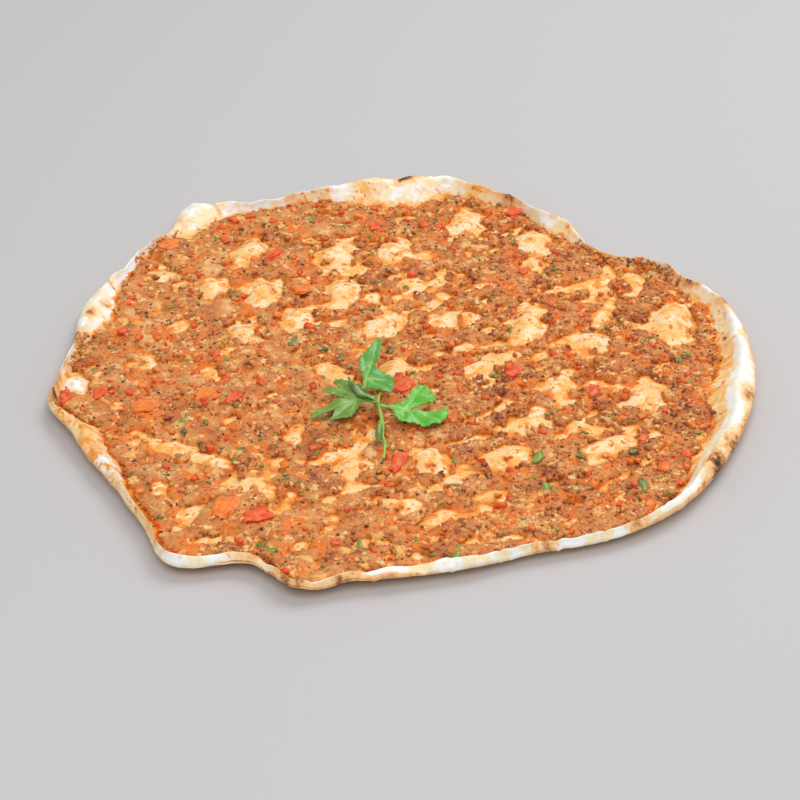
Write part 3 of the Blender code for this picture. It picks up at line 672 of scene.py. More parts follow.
def dough_finish():
    """Baked dough: floured white, cream, stained by the topping's oil, toasted."""
    finish = Finish("baked_dough", roughness=0.62, specular=0.35, subsurface=0.12)
    tree = finish.tree
    base = finish.mottle(CREAM_DOUGH, PALE_DOUGH, 9.0, 0.42, 0.57)
    base = finish.mottle(base, YELLOW_DOUGH, 6.0, 0.50, 0.62)
    base = finish.mottle(base, ORANGE_STAIN, 3.2, 0.575, 0.61)
    base = finish.mottle(base, BROWN_CRUST, 3.2, 0.65, 0.68)
    powder = finish.mottle(WHITE_FLOUR, CREAM_FLOUR, 9.0, 0.45, 0.60)
    dusting = finish.waver(3.0, 4.0, 0.9, 0.6)
    flour = stretch(tree, sum_of(tree, finish.attribute("flour"), dusting), 0.25, 0.65)
    base = mix_colours(tree, flour, base, powder)
    base = finish.mottle(base, BURNT_FLECK, 1.0, 0.71, 0.75)
    soaked = finish.attribute("stain")
    blots = finish.waver(4.5, 5.0, 2.6, 0.65)
    blots = sum_of(tree, blots, stretch(tree, soaked, 0.0, 0.12), "MULTIPLY")
    stain = sum_of(tree, soaked, blots)
    stain_colour = finish.ramp(stain, [(0.2, YELLOW_DOUGH), (0.5, LIGHT_STAIN),
                                       (0.8, ORANGE_STAIN), (1.0, DEEP_STAIN)])
    base = mix_colours(tree, stretch(tree, stain, 0.22, 0.46), base, stain_colour)
    speckle = finish.waver(1.3, 6.0, 1.3, 0.75)
    browned = finish.attribute("toast")
    speckle = sum_of(tree, speckle, stretch(tree, browned, 0.12, 0.35), "MULTIPLY")
    toast = sum_of(tree, browned, speckle)
    toast_colour = finish.ramp(toast, [(0.2, PEACH_CRUST), (0.5, TAN_CRUST),
                                       (0.8, BROWN_CRUST), (1.0, CHAR)])
    base = mix_colours(tree, stretch(tree, toast, 0.10, 0.36), base, toast_colour)
    finish.grain(2.4, 0.6, 0.4, 0.30)
    return finish.colour(base)


def mince_finish(name, roughness):
    """Moist cooked mince: brown-orange, pinker and darker in places, by its tone, with painted
    shade in the creases between its grains.
    """
    finish = Finish(name, roughness=roughness, specular=0.32, subsurface=0.08)
    tree = finish.tree
    blotches = finish.waver(3.5, 3.0, 0.9)
    base = finish.ramp(sum_of(tree, finish.attribute("tone"), blotches), MINCE_TONES)
    base = finish.mottle(base, PEPPER_PASTE, 8.0, 0.51, 0.61)
    base = finish.mottle(base, PALE_ONION, 3.4, 0.62, 0.70, 1.5)
    base = finish.mottle(base, WARM_ONION, 6.0, 0.56, 0.64)
    base = finish.mottle(base, OLIVE_HERB, 3.3, 0.63, 0.69)
    grains = finish.mottle(base, DARK_GRAIN, 2.1, 0.55, 0.64)
    dark = stretch(tree, finish.attribute("tone"), 0.25, 0.70, 0.9, 0.2)
    base = mix_colours(tree, dark, base, grains)
    # Painted shade: thin dark lines along the creases between the grains, in patches
    folds = noise_node(tree, finish.place, 1.0 / (3.6 * MM), 2.0)
    away = sum_of(tree, sum_of(tree, folds, 0.5, "SUBTRACT"), 0.0, "ABSOLUTE")
    patchy = stretch(tree, noise_node(tree, finish.place, 1.0 / (11.0 * MM)), 0.45, 0.58)
    crease_shade = sum_of(tree, stretch(tree, away, 0.004, 0.028, 0.75, 0.0), patchy, "MULTIPLY")
    base = mix_colours(tree, crease_shade, base, CREASE_SHADE)
    base = finish.mottle(base, BLACK_SPECK, 1.1, 0.665, 0.71)
    oil = stretch(tree, sum_of(tree, finish.attribute("oil"), blotches), 0.45, 1.1, 0.0, 0.8)
    base = mix_colours(tree, oil, base, RED_OIL)
    finish.grain(1.3, 0.45, 0.6, 0.6)
    return finish.colour(base)


def pepper_finish(name, deep, bright):
    finish = Finish(name, roughness=0.38, specular=0.35, subsurface=0.15)
    base = finish.mottle(deep, bright, 2.5, 0.35, 0.6)
    base = finish.mottle(base, PEPPER_BROWNING, 3.0, 0.54, 0.64)
    ripe = stretch(finish.tree, finish.attribute("tone"), 0.55, 1.0, 0.0, 0.6)
    base = mix_colours(finish.tree, ripe, base, PEPPER_RIPENESS)
    finish.grain(1.5, 0.5, 0.3, 0.25)
    return finish.colour(base)


def leaf_finish(name, greens):
    """Fresh or cooked parsley in greens by its tone, with paler ribs."""
    finish = Finish(name, roughness=0.32, specular=0.55, subsurface=0.1)
    tree = finish.tree
    shades = finish.waver(4.0, 3.0, 0.5)
    base = finish.ramp(sum_of(tree, finish.attribute("tone"), shades), greens)
    base = mix_colours(tree, finish.attribute("rib"), base, LEAF_RIB)
    finish.grain(1.2, 0.4, 0.4, 0.35)
    return finish.colour(base)


def plain_finish(name, first, second, size, roughness, subsurface=0.0):
    finish = Finish(name, roughness=roughness, subsurface=subsurface)
    base = finish.mottle(first, second, size, 0.38, 0.62)
    finish.grain(1.0, 0.4, 0.4, 0.4)
    return finish.colour(base)


# The bread


def rim_profile(bearing):
    """Inward distance and height of the rim, from the topping's edge round to the table."""
    width = looked_up(WIDTH_TABLE, bearing)
    radius = looked_up(EDGE_TABLE, bearing)
    x, y = point_at(bearing, radius)
    crest = at_bearing(RIM_HEIGHTS, bearing) + RIM_LUMP * swell(x, y, RIM_LUMP_SIZE, 8.1)
    lift = at_bearing(EDGE_LIFTS, bearing)
    foot = dough_top(*point_at(bearing, radius - width))
    inner = [(width, foot), (width * SHOULDER_IN, foot + (crest - foot) * SHOULDER_UP),
             (width * CREST_IN + CREST_INSET, crest)]
    outer = [(inward, lift + (crest - lift) * share) for inward, share in OUTER_SLOPE]
    return inner + outer + [(FOOT_INSET, lift * FOOT_LIFT), (CONTACT_INSET, 0.0)]


def along_profile(profile, place):
    """A point on a smooth curve through the profile: place 0 to 7 is its points."""
    low = min(int(place), len(profile) - 2)
    part = place - low
    last = len(profile) - 1
    points = [profile[max(low - 1, 0)], profile[low], profile[low + 1],
              profile[min(low + 2, last)]]
    return [between(*(point[axis] for point in points), part) for axis in range(2)]


# The rim's skin. Waves of noise: strength, size, layer
RIM_SKIN = [(0.95, 7.5, 12.4), (0.45, 3.4, 13.9)]
UNDERSIDE_BROWNING = [(0.45, 13.0, 30.1), (0.25, 5.0, 31.7)]
SIDE_BROWNING = [(0.34, 9.0, 27.0), (0.25, 3.0, 28.0)]
WRINKLE_PATHS = [(1.0, 19.0, 71.0), (0.35, 6.0, 72.0)]
WRINKLE_WIDTH = 0.07
WRINKLE_DEPTH = 0.9
SEAM_DEPTH = 1.2
CREASE_CUT = 1.5             # how deep the folded lip's crease cuts in
SPOT_ROUNDNESS = 0.6         # how much shorter a toasted spot is along the rim
SPOT_REACH = 1.6             # where it has faded out, and how fast it does
SPOT_FADE = 1.6
WET_PATCHES = (0.5, 16.0, 23.0)
DRIED_SHARE = 0.82           # how much of the oil's stain is gone this far from the spread
STAIN_REACH = 1.9
SOAKED_UP_TO = 1.3          # how far up the inner slope oil soaks, in profile points
YELLOW_BAND = (209, 9, 0.36)    # an oily stretch of rim: bearing, spread, strength


def layered(bearing):
    """How strongly the folded lip's crease shows at a bearing."""
    strength = 0.0
    for start, end in LAYERED_EDGES:
        inside = min((bearing - start) % 360.0, (end - bearing) % 360.0)
        if (bearing - start) % 360.0 <= end - start:
            strength = max(strength, ease(inside / 4.0))
    return strength


def spot_strength(spots, bearing, inward, radius):
    strength = 0.0
    for middle, depth, size, peak in spots:
        along = math.radians(degrees_past(bearing, middle)) * radius
        reach = math.hypot(along * SPOT_ROUNDNESS, inward - depth) / size
        if reach < SPOT_REACH:
            strength = max(strength, peak * math.exp(-reach * reach * SPOT_FADE))
    return strength


def stain_at(x, y, bearing):
    """How far the topping's orange oil has soaked in."""
    wet = 0.8 + uneven([WET_PATCHES], x, y) + 0.3 * hump(bearing, 212, 20)
    dried = DRIED_SHARE * ease((bareness(x, y, 0.3) + 0.2) / STAIN_REACH)
    return (1.0 - dried) * min(wet, 1.0)


def wrinkle(x, y):
    """1 along the thin wrinkles in the rim's skin, 0 between them."""
    return max(1.0 - abs(uneven(WRINKLE_PATHS, x, y)) / WRINKLE_WIDTH, 0.0)


def pinched_seam(bearing, inward, radius):
    """1 along the few curved seams that run across the rim."""
    depth = 0.0
    for middle, bend in RIM_SEAMS:
        along = math.radians(degrees_past(bearing, middle)) * radius
        off = along + bend * (inward - 6.0) ** 2 / 40.0
        depth = max(depth, math.exp(-(off ** 2)))
    return depth


def bread_point(bearing, ring, profile):
    """Where a turned ring's point lies, and its stain, toast and flour."""
    radius = looked_up(EDGE_TABLE, bearing)
    if ring <= INNER_RINGS:
        foot_radius = radius - looked_up(WIDTH_TABLE, bearing)
        x, y = point_at(bearing, foot_radius * ring / INNER_RINGS)
        _, dome = blister_near(x, y)
        toast = 0.55 * ease((dome - 1.4) / 1.4) * ease(swell(x, y, 4.0, 15.2) * 1.8)
        bubble_x, bubble_y, size = WHITE_BUBBLE
        white = ease((size - math.hypot(x - bubble_x, y - bubble_y)) / WHITE_BUBBLE_FADE)
        stain = stain_at(x, y, bearing) * (1.0 - 0.5 * white)
        return (x, y, dough_surface(x, y)), stain, toast, 0.08 + 0.46 * white
    over = ring - INNER_RINGS
    if over <= RIM_RINGS:
        place = 4.0 * over / RIM_RINGS
    elif over <= RIM_RINGS + OUTER_RINGS:
        place = 4.0 + 3.0 * (over - RIM_RINGS) / OUTER_RINGS
    else:
        left = 1.0 - (over - RIM_RINGS - OUTER_RINGS) / UNDER_RINGS
        x, y = point_at(bearing, (radius - CONTACT_INSET) * left)
        return (x, y, 0.0), 0.0, 0.40 + uneven(UNDERSIDE_BROWNING, x, y), 0.3
    inward, height = along_profile(profile, place)
    x, y = point_at(bearing, radius - inward)
    on_top = ease(place / 0.8) * (1.0 - ease(place - 4.2))
    height += on_top * uneven(RIM_SKIN, x, y)
    seam = pinched_seam(bearing, inward, radius)
    height -= on_top * (WRINKLE_DEPTH * wrinkle(x, y) + SEAM_DEPTH * seam)
    for middle, depth, size, rise in RIM_BUBBLES:
        along = math.radians(degrees_past(bearing, middle)) * radius
        spread = math.hypot(along, inward - depth) / size
        if spread < 1.0 and place < 3.5:
            height += rise * (1.0 - spread * spread) ** 2
    crease = layered(bearing) * math.exp(-((place - 3.95) / 0.22) ** 2)
    crease *= 0.75 + 0.5 * swell(x, y, 9.0, 17.3)
    ripple = 0.45 * swell(bearing * 0.6, height, 2.2, 19.0) * (1.0 - on_top)
    cut_x, cut_y = point_at(bearing, CREASE_CUT * crease + ripple)
    x -= cut_x
    y -= cut_y
    height = max(height, 0.0)
    band_bearing, band_spread, band_stain = YELLOW_BAND
    stain = band_stain * hump(bearing, band_bearing, band_spread) * (1.0 - ease(place - 4.2))
    if place < SOAKED_UP_TO:
        soaked = stain_at(x, y, bearing) * (1.0 - ease((place - 0.1) / (SOAKED_UP_TO - 0.1)))
        stain = max(stain, soaked)
    side = ease((place - 3.4 + 1.4 * at_bearing(TAN_REACHES, bearing)) / 0.9)
    toast = side * (0.33 + uneven(SIDE_BROWNING, x, y))
    spots = spot_strength(TOASTED_SPOTS, bearing, inward, radius)
    toast = max(toast, spots * (1.0 + 0.9 * swell(x, y, 2.6, 29.0)), 0.8 * crease,
                0.62 * on_top * seam)
    floured = at_bearing(FLOUR_SHARES, bearing) + 0.5 * swell(x, y, 13.0, 33.0)
    start = 0.8 * hump(bearing, 355, 30)
    flour = ease((place - start) / 0.8) * (1.0 - 0.75 * side) * floured
    return (x, y, height), stain, toast, min(max(flour, 0.0), 1.0)


def make_bread(material):
    """Spin a row of points into a disc, then bend every ring into the bread's shape."""
    rings = INNER_RINGS + RIM_RINGS + OUTER_RINGS + UNDER_RINGS
    shape = bmesh.new()
    masks = [shape.verts.layers.float.new(name) for name in ("stain", "toast", "flour")]
    row = [shape.verts.new((float(ring), 0.0, 0.0)) for ring in range(rings + 1)]
    edges = [shape.edges.new(pair) for pair in zip(row, row[1:])]
    bmesh.ops.spin(shape, geom=row + edges, cent=(0, 0, 0), axis=(0, 0, 1), dvec=(0, 0, 0),
                   angle=math.tau, steps=BREAD_STEPS, use_merge=True, use_duplicate=False)
    bmesh.ops.remove_doubles(shape, verts=shape.verts, dist=0.001)
    profiles = {}
    for vert in shape.verts:
        ring = round(math.hypot(vert.co.x, vert.co.y))
        step = round(math.atan2(vert.co.y, vert.co.x) / math.tau * BREAD_STEPS) % BREAD_STEPS
        bearing = step * 360.0 / BREAD_STEPS
        if step not in profiles:
            profiles[step] = rim_profile(bearing)
        vert.co, *values = bread_point(bearing, ring, profiles[step])
        for mask, value in zip(masks, values):
            vert[mask] = value
    bottom = [vert for vert in shape.verts
              if vert.co.z < 0.0001 and math.hypot(vert.co.x, vert.co.y) < 0.01]
    bmesh.ops.pointmerge(shape, verts=bottom, merge_co=(0.0, 0.0, 0.0))
    bmesh.ops.recalc_face_normals(shape, faces=shape.faces)
    piece = finish_mesh("baked_bread", shape, material)
    keep_in_box(piece, "flatbread")
    return piece


# The spread of mince


MIDDLE_TONE = 0.53
TONE_SLOPE = -0.0006         # the tone's change for each mm to the right
TONE_PATCHES = [(0.34, 24.0, 41.0), (0.44, 8.0, 42.0)]
HIDDEN_SHARE = 0.55          # the sheet ends this share of the rim's width in from the edge,
HIDDEN_MARGIN = 0.8          # and a margin more
SHEET_SUNK = 0.9             # how far the spread's underside lies inside the dough
OIL_REACH = 1.8


def mince_tone(x, y):
    """Pinker and lighter at the left, redder and darker at the right, in loose patches."""
    tone = MIDDLE_TONE + TONE_SLOPE * x + uneven(TONE_PATCHES, x, y)
    return min(max(tone, 0.05), 0.95)


def make_sheet(material):
    """A fine grid cut to the topping's ragged edge and thickened down into the dough."""
    shape = bmesh.new()
    tone = shape.verts.layers.float.new("tone")
    oil = shape.verts.layers.float.new("oil")
    columns = int(2 * BREAD_HALF_WIDTH / SHEET_SPACING)
    rows = int(2 * (BREAD_HALF_DEPTH + 8.0) / SHEET_SPACING)
    bmesh.ops.create_grid(shape, x_segments=columns, y_segments=rows, size=1.0)
    bmesh.ops.scale(shape, vec=(columns * SHEET_SPACING / 2, rows * SHEET_SPACING / 2, 1.0),
                    verts=shape.verts)
    spare = []
    for vert in shape.verts:
        reach = math.hypot(vert.co.x, vert.co.y)
        bearing = bearing_of(vert.co.x, vert.co.y)
        hidden = looked_up(EDGE_TABLE, bearing) - HIDDEN_SHARE * looked_up(WIDTH_TABLE, bearing)
        hidden -= HIDDEN_MARGIN + HIDDEN_SHARE * at_bearing(EDGE_LIFTS, bearing)
        if reach > hidden or topping_depth(vert.co.x, vert.co.y) < 0.01 - MINCE_SUNK:
            spare.append(vert)
    bmesh.ops.delete(shape, geom=spare, context="VERTS")
    alone = [vert for vert in shape.verts if not vert.link_faces]
    bmesh.ops.delete(shape, geom=alone, context="VERTS")
    raised = bmesh.ops.extrude_face_region(shape, geom=shape.faces[:])["geom"]
    over = {vert for vert in raised if isinstance(vert, bmesh.types.BMVert)}
    for vert in shape.verts:
        x, y = vert.co.x, vert.co.y
        vert.co.z = topping_top(x, y) if vert in over else dough_surface(x, y) - SHEET_SUNK
        vert[tone] = mince_tone(x, y)
        vert[oil] = 1.0 - ease(-bareness(x, y) / OIL_REACH)
    bmesh.ops.recalc_face_normals(shape, faces=shape.faces)
    return finish_mesh("mince_spread", shape, material)


# Scattered bits


def make_lump(shape, place):
    return bmesh.ops.create_icosphere(shape, subdivisions=1, radius=1.0, matrix=place)["verts"]


def make_dice(shape, place):
    """A little block with its edges worn round."""
    verts = bmesh.ops.create_cube(shape, size=1.7, matrix=place)["verts"]
    edges = list(dict.fromkeys(edge for vert in verts for edge in vert.link_edges))
    reach = 0.3 * min(place.to_scale())
    return bmesh.ops.bevel(shape, geom=edges, offset=reach, segments=1, profile=0.5,
                           affect="EDGES", material=-1)["verts"]


def make_flake(shape, place):
    """A pinched and curled scrap of leaf."""
    verts = bmesh.ops.create_grid(shape, x_segments=4, y_segments=2, size=1.0)["verts"]
    for vert in verts:
        pinch = 1.0 - 0.75 * abs(vert.co.x) ** 2.5
        vert.co.z = 0.25 * vert.co.x ** 2 - 0.35 * abs(vert.co.y)
        vert.co.y *= pinch
    bmesh.ops.transform(shape, matrix=place, verts=verts)
    faces = list(dict.fromkeys(face for vert in verts for face in vert.link_faces))
    walls = bmesh.ops.solidify(shape, geom=faces, thickness=0.3)["geom"]
    sides = faces + [part for part in walls if isinstance(part, bmesh.types.BMFace)]
    return list(dict.fromkeys(vert for face in sides for vert in face.verts))


HANDFUL = 120
PAINTED_FOOT_SHADE = 0.38            # painted shade: how much darker a bit is where it sinks into the spread
ROUGHNESS_RANGE = (0.76, 1.24)   # how far its points are pushed in and out
LEAN = 0.5                   # the most that a bit leans, in radians
FLATNESS = (0.5, 0.9)        # its width as a share of its length
EDGE_MARGIN = 3.4            # bits keep this far inside the bread's outline
LARGE_FROM = 0.72            # a crumb is a large one when its size from 0 to 1 is above this
CRUMB_JITTER = 1.1
# How many bits of each kind, and their shortest and longest half length
DICE = [("red", 210), ("orange", 150)]
DICE_SIZES = (0.9, 2.1)
DICE_HEIGHT = 1.1
FLAKES = 130
FLAKE_SIZES = (1.1, 2.3)
SMALL_BITS = [
    ("herb_crumbs", 320, (0.5, 1.3), "herb"), ("onion_bits", 95, (0.9, 2.0), "onion"),
    ("green_pepper_bits", 60, (0.9, 1.6), "green_pepper"),
    ("charred_specks", 620, (0.35, 1.1), "char"),
]
# The slot of each kind that isn't the topping's own
BIT_SLOTS = {"red": "red_pepper", "orange": "orange_pepper", "herb": "parsley"}
# Where the spread runs up the rim's inner slope: bearing from, to, and how many rings up
SPREAD_OVER_RIM = [(28, 51, 16), (104, 120, 6), (135, 147, 14), (173, 183, 12), (194, 200, 10)]


def inside_edge(x, y):
    """Distance inside the bread's outline."""
    return looked_up(EDGE_TABLE, bearing_of(x, y)) - math.hypot(x, y)


def scatter(name, make_bit, places, material):
    """Make a bit at every place, a handful at a time, and join them into one piece.

    A place is x, y, height, three half sizes, turn, tilt and tone.
    """
    draw = random.Random(name)
    handfuls = []
    for first in range(0, len(places), HANDFUL):
        handful = bmesh.new()
        tone_layer = handful.verts.layers.float.new("tone")
        for x, y, height, long, wide, high, turn, tilt, tone in places[first:first + HANDFUL]:
            sizes = Matrix.Diagonal((long, wide, high, 1.0))
            turned = Matrix.Rotation(turn, 4, "Z") @ Matrix.Rotation(tilt, 4, "X")
            leaned = turned @ Matrix.Rotation(tilt * 0.7, 4, "Y")
            middle = Vector((x, y, height))
            for vert in make_bit(handful, Matrix.Translation(middle) @ leaned @ sizes):
                vert.co = middle + (vert.co - middle) * draw.uniform(*ROUGHNESS_RANGE)
                # Painted shade: each bit is darker towards its foot, where it sinks into the
                # spread
                sunk = 1.0 - ease((vert.co.z - height) / high)
                vert[tone_layer] = max(tone - PAINTED_FOOT_SHADE * sunk, 0.0)
        handfuls.append(handful)
    whole = join(handfuls)
    bmesh.ops.recalc_face_normals(whole, faces=whole.faces)
    return finish_mesh(name, whole, material)


def random_spots(draw, count, clear):
    """Seeded random spots on the mince, well inside its edge."""
    spots = []
    while len(spots) < count:
        x = draw.uniform(-BREAD_HALF_WIDTH, BREAD_HALF_WIDTH)
        y = draw.uniform(-BREAD_HALF_DEPTH, BREAD_HALF_DEPTH)
        if inside_edge(x, y) > EDGE_MARGIN + 2.0 and bareness(x, y) < -clear:
            spots.append((x, y))
    return spots


def on_a_piece(x, y, margin):
    """Whether a spot is on one of the large pepper pieces."""
    return any(outside_pepper(x, y, place) < margin for place in PEPPERS)


def crumb_places(draw):
    """Mince crumbs in loose rows over the whole spread, large ones and small ones apart."""
    large = []
    small = []
    steps = int(BREAD_HALF_DEPTH * 2.2 / CRUMB_SPACING)
    for row in range(-steps // 2, steps // 2):
        for column in range(-steps // 2, steps // 2):
            x = (column + 0.5 * (row % 2)) * CRUMB_SPACING
            x += draw.uniform(-CRUMB_JITTER, CRUMB_JITTER)
            y = row * CRUMB_SPACING * 0.87 + draw.uniform(-CRUMB_JITTER, CRUMB_JITTER)
            size = draw.uniform(0.0, 1.0)
            turn = draw.uniform(0.0, math.tau)
            tilt = draw.uniform(-LEAN, LEAN)
            shade = draw.uniform(-0.20, 0.30)
            if size > LARGE_FROM:
                half = 1.3 + 1.3 * (size - LARGE_FROM) / (1.0 - LARGE_FROM)
                bucket = large
            else:
                half = 0.7 + 0.75 * size / LARGE_FROM
                bucket = small
            if inside_edge(x, y) < EDGE_MARGIN + half:
                continue
            bare = bareness(x, y)
            if bare > 0.4 - 0.8 * size or on_a_piece(x, y, 0.2):
                continue
            tone = min(max(mince_tone(x, y) + shade, 0.0), 1.0)
            height = topping_top(x, y) + (0.20 * ease((x + 30.0) / 90.0) - 0.34) * half
            bucket.append((x, y, height, half, half * draw.uniform(*FLATNESS),
                           half * draw.uniform(0.4, 0.6), turn, tilt, tone))
    return large, small


def slope_crumbs(draw):
    """Crumbs up the rim's inner slope where the rim is narrow and the spread reaches it."""
    places = []
    for first, last, rings in SPREAD_OVER_RIM:
        bearing = first
        while bearing < last:
            bearing += draw.uniform(0.1, 0.3)
            ring = INNER_RINGS + draw.uniform(0.0, rings)
            (x, y, height), *_ = bread_point(bearing, ring, rim_profile(bearing))
            half = draw.uniform(0.7, 1.5)
            tone = min(max(mince_tone(x, y) + draw.uniform(-0.10, 0.40), 0.0), 1.0)
            places.append((x, y, height, half, half * draw.uniform(*FLATNESS), half * 0.5,
                           draw.uniform(0.0, math.tau), draw.uniform(-LEAN, LEAN), tone))
    return places


# Bits of pepper and herb that stand out: x, y, half length
BRIGHT_DICE = [
    (-81, 96, 3), (-78, 112, 2.5), (-71, 117, 2.5), (-40, 60, 2.5), (-124, 37, 3),
    (-118, 17, 2.5), (-41, 23, 2.5), (-58, -20, 2.5), (-79, 1, 2.5), (2, 70, 3),
    (15, 108, 2.5), (8, 110, 2.5), (37, 120, 3), (14, 15, 2.5), (41, -12, 3), (66, 0, 3),
    (84, 29, 3), (62, 42, 2.5), (51, 68, 2.5), (40, -82, 3), (91, -60, 2.5), (25, -50, 2.5),
    (97, -80, 3), (105, -80, 2.5), (106, -72, 2.5), (34, -104, 3), (-2, -47, 2.5),
]
GREEN_FLAKES = [
    (-45, 115, 4), (47, 99, 5), (37, -12, 4), (-47, 10, 4), (-90, -5, 4), (-36, 6, 4),
    (49, -74, 4), (66, -72, 4), (87, -94, 4.5), (85, -98, 4), (17, -134, 4), (19, -82, 4),
    (51, -93, 3.5), (-50, -131, 5), (-57, -139, 5), (-52, -141, 4), (-66, -135, 4),
    (-18, -128, 4), (-8, -146, 4), (-68, -114, 3.5), (-107, -84, 4), (-105, -6, 4),
]


def standing_out(draw, listed, number, clear, half, tone):
    """The listed bits, then random ones up to a number."""
    spots = [(x, y, size) for x, y, size in listed
             if bareness(x, y) < 0.5 and inside_edge(x, y) > EDGE_MARGIN + size]
    for x, y in random_spots(draw, number - len(spots), clear):
        spots.append((x, y, draw.uniform(*half)))
    places = []
    for x, y, size in spots:
        places.append((x, y, topping_top(x, y), size, draw.uniform(*tone)))
    return places


def make_bits(finishes):
    draw = random.Random(SEED)
    large, small = crumb_places(draw)
    half = len(small) // 2
    pieces = [
        scatter("mince_crumbs_large", make_lump, large, finishes["mince"]),
        scatter("mince_crumbs_small_1", make_lump, small[:half], finishes["mince"]),
        scatter("mince_crumbs_small_2", make_lump, small[half:], finishes["mince"]),
        scatter("mince_crumbs_on_rim", make_lump, slope_crumbs(draw), finishes["mince"]),
    ]
    for colour, number in DICE:
        listed = BRIGHT_DICE if colour == "red" else []
        places = []
        for x, y, height, size, tone in standing_out(draw, listed, number, 0.8, DICE_SIZES,
                                                     (0.0, 1.0)):
            places.append((x, y, height + 0.1 * size, size, size * draw.uniform(*FLATNESS),
                           min(size * 0.5, DICE_HEIGHT), draw.uniform(0, math.tau),
                           draw.uniform(-LEAN, LEAN), tone))
        pieces.append(scatter(f"{colour}_pepper_dice", make_dice, places, finishes[colour]))
    flakes = []
    for x, y, height, size, tone in standing_out(draw, GREEN_FLAKES, FLAKES, 0.5, FLAKE_SIZES,
                                                 (0.35, 1.0)):
        flakes.append((x, y, height + 0.25, size * 0.9, size * draw.uniform(0.45, 0.75),
                       size * 0.5, draw.uniform(0, math.tau), draw.uniform(-0.4, 0.4), tone))
    pieces.append(scatter("herb_flakes", make_flake, flakes, finishes["herb"]))
    for name, number, sizes, finish in SMALL_BITS:
        places = []
        for x, y, height, size, tone in standing_out(draw, [], number, 0.3, sizes, (0.0, 1.0)):
            places.append((x, y, height - 0.05 * size, size, size * draw.uniform(0.3, 0.9),
                           size * 0.45, draw.uniform(0, math.tau),
                           draw.uniform(-LEAN, LEAN), tone))
        make_bit = make_dice if name == "green_pepper_bits" else make_lump
        pieces.append(scatter(name, make_bit, places, finishes[finish]))
    return pieces


# The large pepper pieces


PEPPER_CUTS = 5
PEPPER_BALL = 0.62           # radius of the ball that its corners are drawn towards
PEPPER_ROUNDING = 0.52       # how far
DENT_FINENESS = 3.0
DENT_DEPTH = 0.52
PEPPER_TAPER = 0.25          # how much wider it is at one end
PEPPER_BOW = 0.12            # how much it bows sideways
PEPPER_SUNK = 0.5            # how far it sinks into its seat


def make_pepper(name, place, material):
    """A soft cooked piece: a subdivided block, rounded, bent and dented."""
    _, x, y, length, width, turn = place
    draw = random.Random(name)
    layer = draw.uniform(50.0, 90.0)
    shape = bmesh.new()
    tone = shape.verts.layers.float.new("tone")
    bmesh.ops.create_cube(shape, size=1.0)
    bmesh.ops.subdivide_edges(shape, edges=shape.edges[:], cuts=PEPPER_CUTS,
                              use_grid_fill=True)
    bend = draw.uniform(-0.6, 0.9)
    ripeness = draw.uniform(0.0, 0.5)
    for vert in shape.verts:
        vert[tone] = ripeness
        rounded = vert.co.normalized() * PEPPER_BALL
        vert.co = vert.co.lerp(rounded, PEPPER_ROUNDING)
        dent = noise.noise(vert.co * DENT_FINENESS + Vector((0, 0, layer)))
        vert.co *= 1.0 + DENT_DEPTH * dent
        vert.co.x *= length
        vert.co.y *= width * (1.0 + PEPPER_TAPER * vert.co.x / length)
        vert.co.z *= PEPPER_THICKNESS
        vert.co.z += bend * (vert.co.x / length) ** 2
        vert.co.y += PEPPER_BOW * length * (vert.co.x / length) ** 2
    bmesh.ops.rotate(shape, cent=(0, 0, 0), verts=shape.verts,
                     matrix=Matrix.Rotation(math.radians(turn), 3, "Z"))
    seat = seat_height(x, y) - PEPPER_SUNK - min(vert.co.z for vert in shape.verts)
    bmesh.ops.translate(shape, vec=(x, y, seat), verts=shape.verts)
    piece = finish_mesh(name, shape, material)
    soften(piece, 1)
    return piece


def soften(piece, levels):
    rounding = piece.modifiers.new("rounding", "SUBSURF")
    rounding.levels = levels
    rounding.render_levels = levels


# The parsley sprig


TOOTH = 0.55                 # how far a tooth stands out, and the points between two
TOOTH_STEPS = 3
OUTLINE_PARTS = 5            # points from one listed point of a leaf's outline to the next
LEAF_SPACING = 0.7           # width of the squares that a leaf is cut into
LEAF_THICKNESS = 0.35
LEAF_WAVE = 0.55             # height of its waves, and how fast they run in x and y
LEAF_WAVE_X = 0.55
LEAF_WAVE_Y = 0.5
LEAF_LUMPS = (0.5, 6.0, 61.0)
LEAF_ARCH = 0.30             # how much it arches between its ribs, out to a distance
LEAF_ARCH_REACH = 2.2
RIB_GROOVE = 0.18
RIB_WIDTH = 0.42
RIB_TAPER = 0.35
STALK_PARTS = 6
STALK_SIDES = 12
STALK_RADIUS = STEM_RADIUS * 0.75


def toothed(curve):
    """The curve with a small tooth drawn out at every few points."""
    result = []
    for place, point in enumerate(curve):
        along = curve[(place + 1) % len(curve)] - curve[place - 1]
        outward = Vector((-along.y, along.x)).normalized()
        share = TOOTH if place % TOOTH_STEPS == 0 else 0.0
        result.append(point + outward * share)
    return result


def smooth_loop(points, parts):
    """A closed smooth curve through the points."""
    curve = []
    count = len(points)
    for place in range(count):
        near = [Vector(points[(place + step - 1) % count]) for step in range(4)]
        curve += [between(*near, part / parts) for part in range(parts)]
    return curve


def distance_to_line(point, start, end):
    along = end - start
    share = min(max((point - start).dot(along) / max(along.length_squared, 1e-9), 0.0), 1.0)
    return (point - start - along * share).length, share


def rib_mask(point, ribs):
    """1 on a rib, 0 between the ribs, and how far out from the ribs the point is."""
    base, heart, tips = (Vector(ribs[0]), Vector(ribs[1]), [Vector(tip) for tip in ribs[2]])
    nearest, _ = distance_to_line(point, base, heart)
    for tip in tips:
        away, share = distance_to_line(point, heart, tip)
        nearest = min(nearest, away + RIB_TAPER * share)
    return math.exp(-((nearest / RIB_WIDTH) ** 2)), nearest


